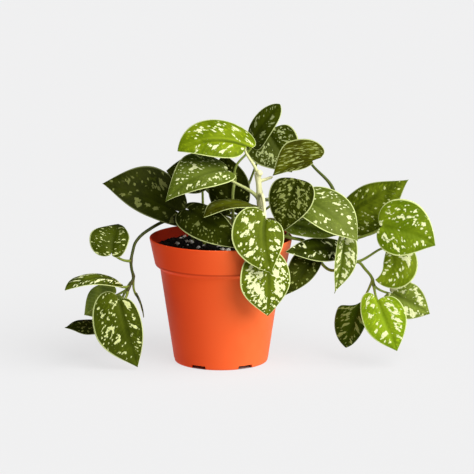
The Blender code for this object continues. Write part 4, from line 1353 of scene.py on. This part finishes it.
def colour_property(name, description, default):
    """A colour that the sidebar shows as a swatch."""
    return bpy.props.FloatVectorProperty(
        name=name, description=description, default=default, subtype="COLOR", min=0.0, max=1.0)


class PlantSizes(bpy.types.PropertyGroup):
    """Sizes and colours that a user may want to change."""
    blade_thickness: bpy.props.FloatProperty(
        name="Blade thickness", description="Thickness of the leaves", default=0.00055, unit="LENGTH")
    blade_wave: bpy.props.FloatProperty(
        name="Margin wave", description="Height of the waves at a leaf's margin", default=0.0007,
        unit="LENGTH")
    blade_rows: bpy.props.IntProperty(
        name="Rows", description="Rows of faces from a leaf's base to its tip", default=40)
    blade_columns: bpy.props.IntProperty(
        name="Columns", description="Columns of faces on each half of a leaf", default=18)
    stem_sides: bpy.props.IntProperty(
        name="Stem sides", description="Sides of a stem's round section", default=14)
    pot_sides: bpy.props.IntProperty(
        name="Pot sides", description="Sides of the turned pot", default=180)
    soil_rings: bpy.props.IntProperty(
        name="Soil rings", description="Rings of faces on top of the soil", default=48)
    crumb_density: bpy.props.FloatProperty(
        name="Crumbs", description="Peat crumbs on each square metre", default=170000.0)
    perlite_density: bpy.props.FloatProperty(
        name="Perlite", description="Perlite grains on each square metre", default=4200.0)
    leaf_lightness: bpy.props.FloatProperty(
        name="Leaf lightness", description="Factor on the greens of the leaves", default=1.0)
    spot_cover: bpy.props.FloatProperty(
        name="Spot cover", description="Factor on how much of a leaf its spots cover", default=1.0)
    margin_colour: colour_property("Leaf margin", "Pale line round each leaf", MARGIN)
    stem_colour: colour_property("Stems", "Green of the grown stems and leaf stalks", STEM_GREEN)
    young_stem_colour: colour_property("Young stems", "Cream of the youngest stems", STEM_CREAM)
    pot_colour: colour_property("Pot", "Plastic of the pot", POT_COLOUR)
    # painted light: the paler pot colour of the lit side
    painted_lit_pot_colour: colour_property(
        "Pot, painted lit side", "Plastic on the side that faced the window", POT_PAINTED_LIT)


class StudioSettings(bpy.types.PropertyGroup):
    """The camera and lights of the studio."""
    distance: bpy.props.FloatProperty(
        name="Camera distance", description="From the camera to the plant", default=2.2, unit="LENGTH")
    elevation: bpy.props.FloatProperty(
        name="Camera elevation", description="Angle above the horizon", default=math.radians(11.3),
        subtype="ANGLE")
    lens: bpy.props.FloatProperty(
        name="Lens", description="Focal length in millimetres", default=199.1)
    key_power: bpy.props.FloatProperty(
        name="Key light", description="Strength of the soft sun from the right", default=4.6)
    fill_power: bpy.props.FloatProperty(
        name="Fill light", description="Strength of the sky", default=0.1)


class PLANT_OT_pot(bpy.types.Operator):
    """Make the nursery pot"""
    bl_idname = "plant.pot"
    bl_label = "Make pot"

    def execute(self, context):
        sizes = context.scene.plant_sizes
        points, faces = ring_body(pot_profile(), sizes.pot_sides)
        pot = body_object("nursery_pot", points, faces, pot_material(sizes))
        cut_away(pot, pot_cutters())
        pot.data.shade_smooth()
        pot.data.set_sharp_from_angle(angle=SHARP_ANGLE)
        settle(pot, "pot")
        return {"FINISHED"}


class PLANT_OT_soil(bpy.types.Operator):
    """Make the soil with its crumbs and perlite"""
    bl_idname = "plant.soil"
    bl_label = "Make soil"

    def execute(self, context):
        sizes = context.scene.plant_sizes
        peat = peat_material()
        profile, edge = soil_profile(sizes.soil_rings)
        points, faces = ring_body(profile, SOIL_SIDES, soil_height)
        soil = body_object("peat_bed", points, faces, peat)
        soil.data.shade_smooth()
        settle(soil, "soil")
        disc = [(edge - SOIL_EDGE_WIDTH) * (1 - ring / STREWN_RINGS) for ring in range(STREWN_RINGS + 1)]
        points, faces = ring_body([(radius, SOIL_LEVEL) for radius in disc], STREWN_SIDES, soil_height)
        bed = body_object("strewn_area", points, faces)
        strewn = (("peat_crumbs", peat, sizes.crumb_density, CRUMB_SIZES, 3),
                  ("perlite_grains", perlite_material(), sizes.perlite_density, PERLITE_SIZES, 11))
        for name, look, density, (smallest, largest), seed in strewn:
            lumps = scatter_tree(name, look).run(
                bed, Density=density, Smallest=smallest * MM, Largest=largest * MM, Seed=seed)
            settle(new_object(name, lumps), None)
        bpy.data.objects.remove(bed, do_unlink=True)
        return {"FINISHED"}


class PLANT_OT_stems(bpy.types.Operator):
    """Make every stem with its leaf stalks"""
    bl_idname = "plant.stems"
    bl_label = "Make stems"

    def execute(self, context):
        sizes = context.scene.plant_sizes
        tree = tube_tree(stem_material(sizes))
        for vine in VINES:
            paths = line_object("path_" + vine.name, stem_lines(vine))
            mesh = tree.run(paths, Sides=sizes.stem_sides)
            bpy.data.objects.remove(paths, do_unlink=True)
            settle(new_object("stem" + vine.name.removeprefix("vine"), mesh), vine.name)
        return {"FINISHED"}


class PLANT_OT_leaves(bpy.types.Operator):
    """Make every leaf blade with its markings"""
    bl_idname = "plant.leaves"
    bl_label = "Make leaves"

    def execute(self, context):
        sizes = context.scene.plant_sizes
        undersides = {}
        for number, leaf in enumerate(LEAVES):
            look = LOOKS[leaf.name]
            label = leaf.name.removeprefix("leaf")
            mesh = blade_mesh(leaf, sizes.blade_rows, sizes.blade_columns, sizes.blade_thickness / MM,
                              sizes.blade_wave / MM, number)
            mesh.materials.append(face_material("face" + label, look, sizes))
            if look.green not in undersides:
                undersides[look.green] = underside_material(
                    "underside_%d" % len(undersides), dull(look.green, UNDERSIDE_DARK),
                    dull(look.light, UNDERSIDE_LIGHT), tuple(sizes.margin_colour))
            mesh.materials.append(undersides[look.green])
            settle(new_object("blade" + label, mesh), leaf.name)
        return {"FINISHED"}


class PLANT_OT_studio(bpy.types.Operator):
    """Make the floor, lights and camera"""
    bl_idname = "plant.studio"
    bl_label = "Make studio"

    def execute(self, context):
        settings = context.scene.plant_studio
        corners = [Vector((x * FLOOR_REACH, y * FLOOR_REACH, 0))
                   for x, y in ((-1, -1), (1, -1), (1, 1), (-1, 1))]
        floor = body_object("studio_floor", corners, [(0, 1, 2, 3)], floor_material())
        world = bpy.data.worlds.new("studio_sky")
        world.use_nodes = True
        background = world.node_tree.nodes["Background"]
        background.inputs["Color"].default_value = (1.0, 1.0, 1.0, 1.0)
        background.inputs["Strength"].default_value = settings.fill_power
        context.scene.world = world
        sun = bpy.data.lights.new("key_light", "SUN")
        sun.energy = settings.key_power
        sun.angle = KEY_SOFTNESS
        key = new_object("key_light", sun)
        key.rotation_euler = Vector(KEY_DIRECTION).to_track_quat("Z", "Y").to_euler()
        target = Vector(CAMERA_TARGET)
        back = Vector((0, -math.cos(settings.elevation), math.sin(settings.elevation)))
        camera = bpy.data.cameras.new("camera")
        camera.lens = settings.lens
        camera.sensor_width = SENSOR_WIDTH
        camera.clip_end = FARTHEST_VIEW
        viewer = new_object("camera", camera)
        viewer.location = target + back * settings.distance
        viewer.rotation_euler = back.to_track_quat("Z", "Y").to_euler()
        context.scene.camera = viewer
        context.scene.view_settings.view_transform = "Standard"
        return {"FINISHED"}


class PLANT_PT_panel(bpy.types.Panel):
    """Lists the steps and their settings"""
    bl_idname = "PLANT_PT_panel"
    bl_label = "Potted plant"
    bl_space_type = "VIEW_3D"
    bl_region_type = "UI"
    bl_category = "Plant"

    def draw(self, context):
        for group in (context.scene.plant_sizes, context.scene.plant_studio):
            for name in group.__annotations__:
                self.layout.prop(group, name)
        for step in STEPS:
            self.layout.operator(step.bl_idname)


STEPS = (PLANT_OT_pot, PLANT_OT_soil, PLANT_OT_stems, PLANT_OT_leaves, PLANT_OT_studio)
CLASSES = (PlantSizes, StudioSettings, *STEPS, PLANT_PT_panel)


def register():
    for made in CLASSES:
        bpy.utils.register_class(made)
    bpy.types.Scene.plant_sizes = bpy.props.PointerProperty(type=PlantSizes)
    bpy.types.Scene.plant_studio = bpy.props.PointerProperty(type=StudioSettings)


def unregister():
    del bpy.types.Scene.plant_studio
    del bpy.types.Scene.plant_sizes
    for made in reversed(CLASSES):
        bpy.utils.unregister_class(made)


def main():
    register()
    bpy.ops.plant.pot()
    bpy.ops.plant.soil()
    bpy.ops.plant.stems()
    bpy.ops.plant.leaves()
    bpy.ops.plant.studio()


if __name__ == "__main__":
    main()
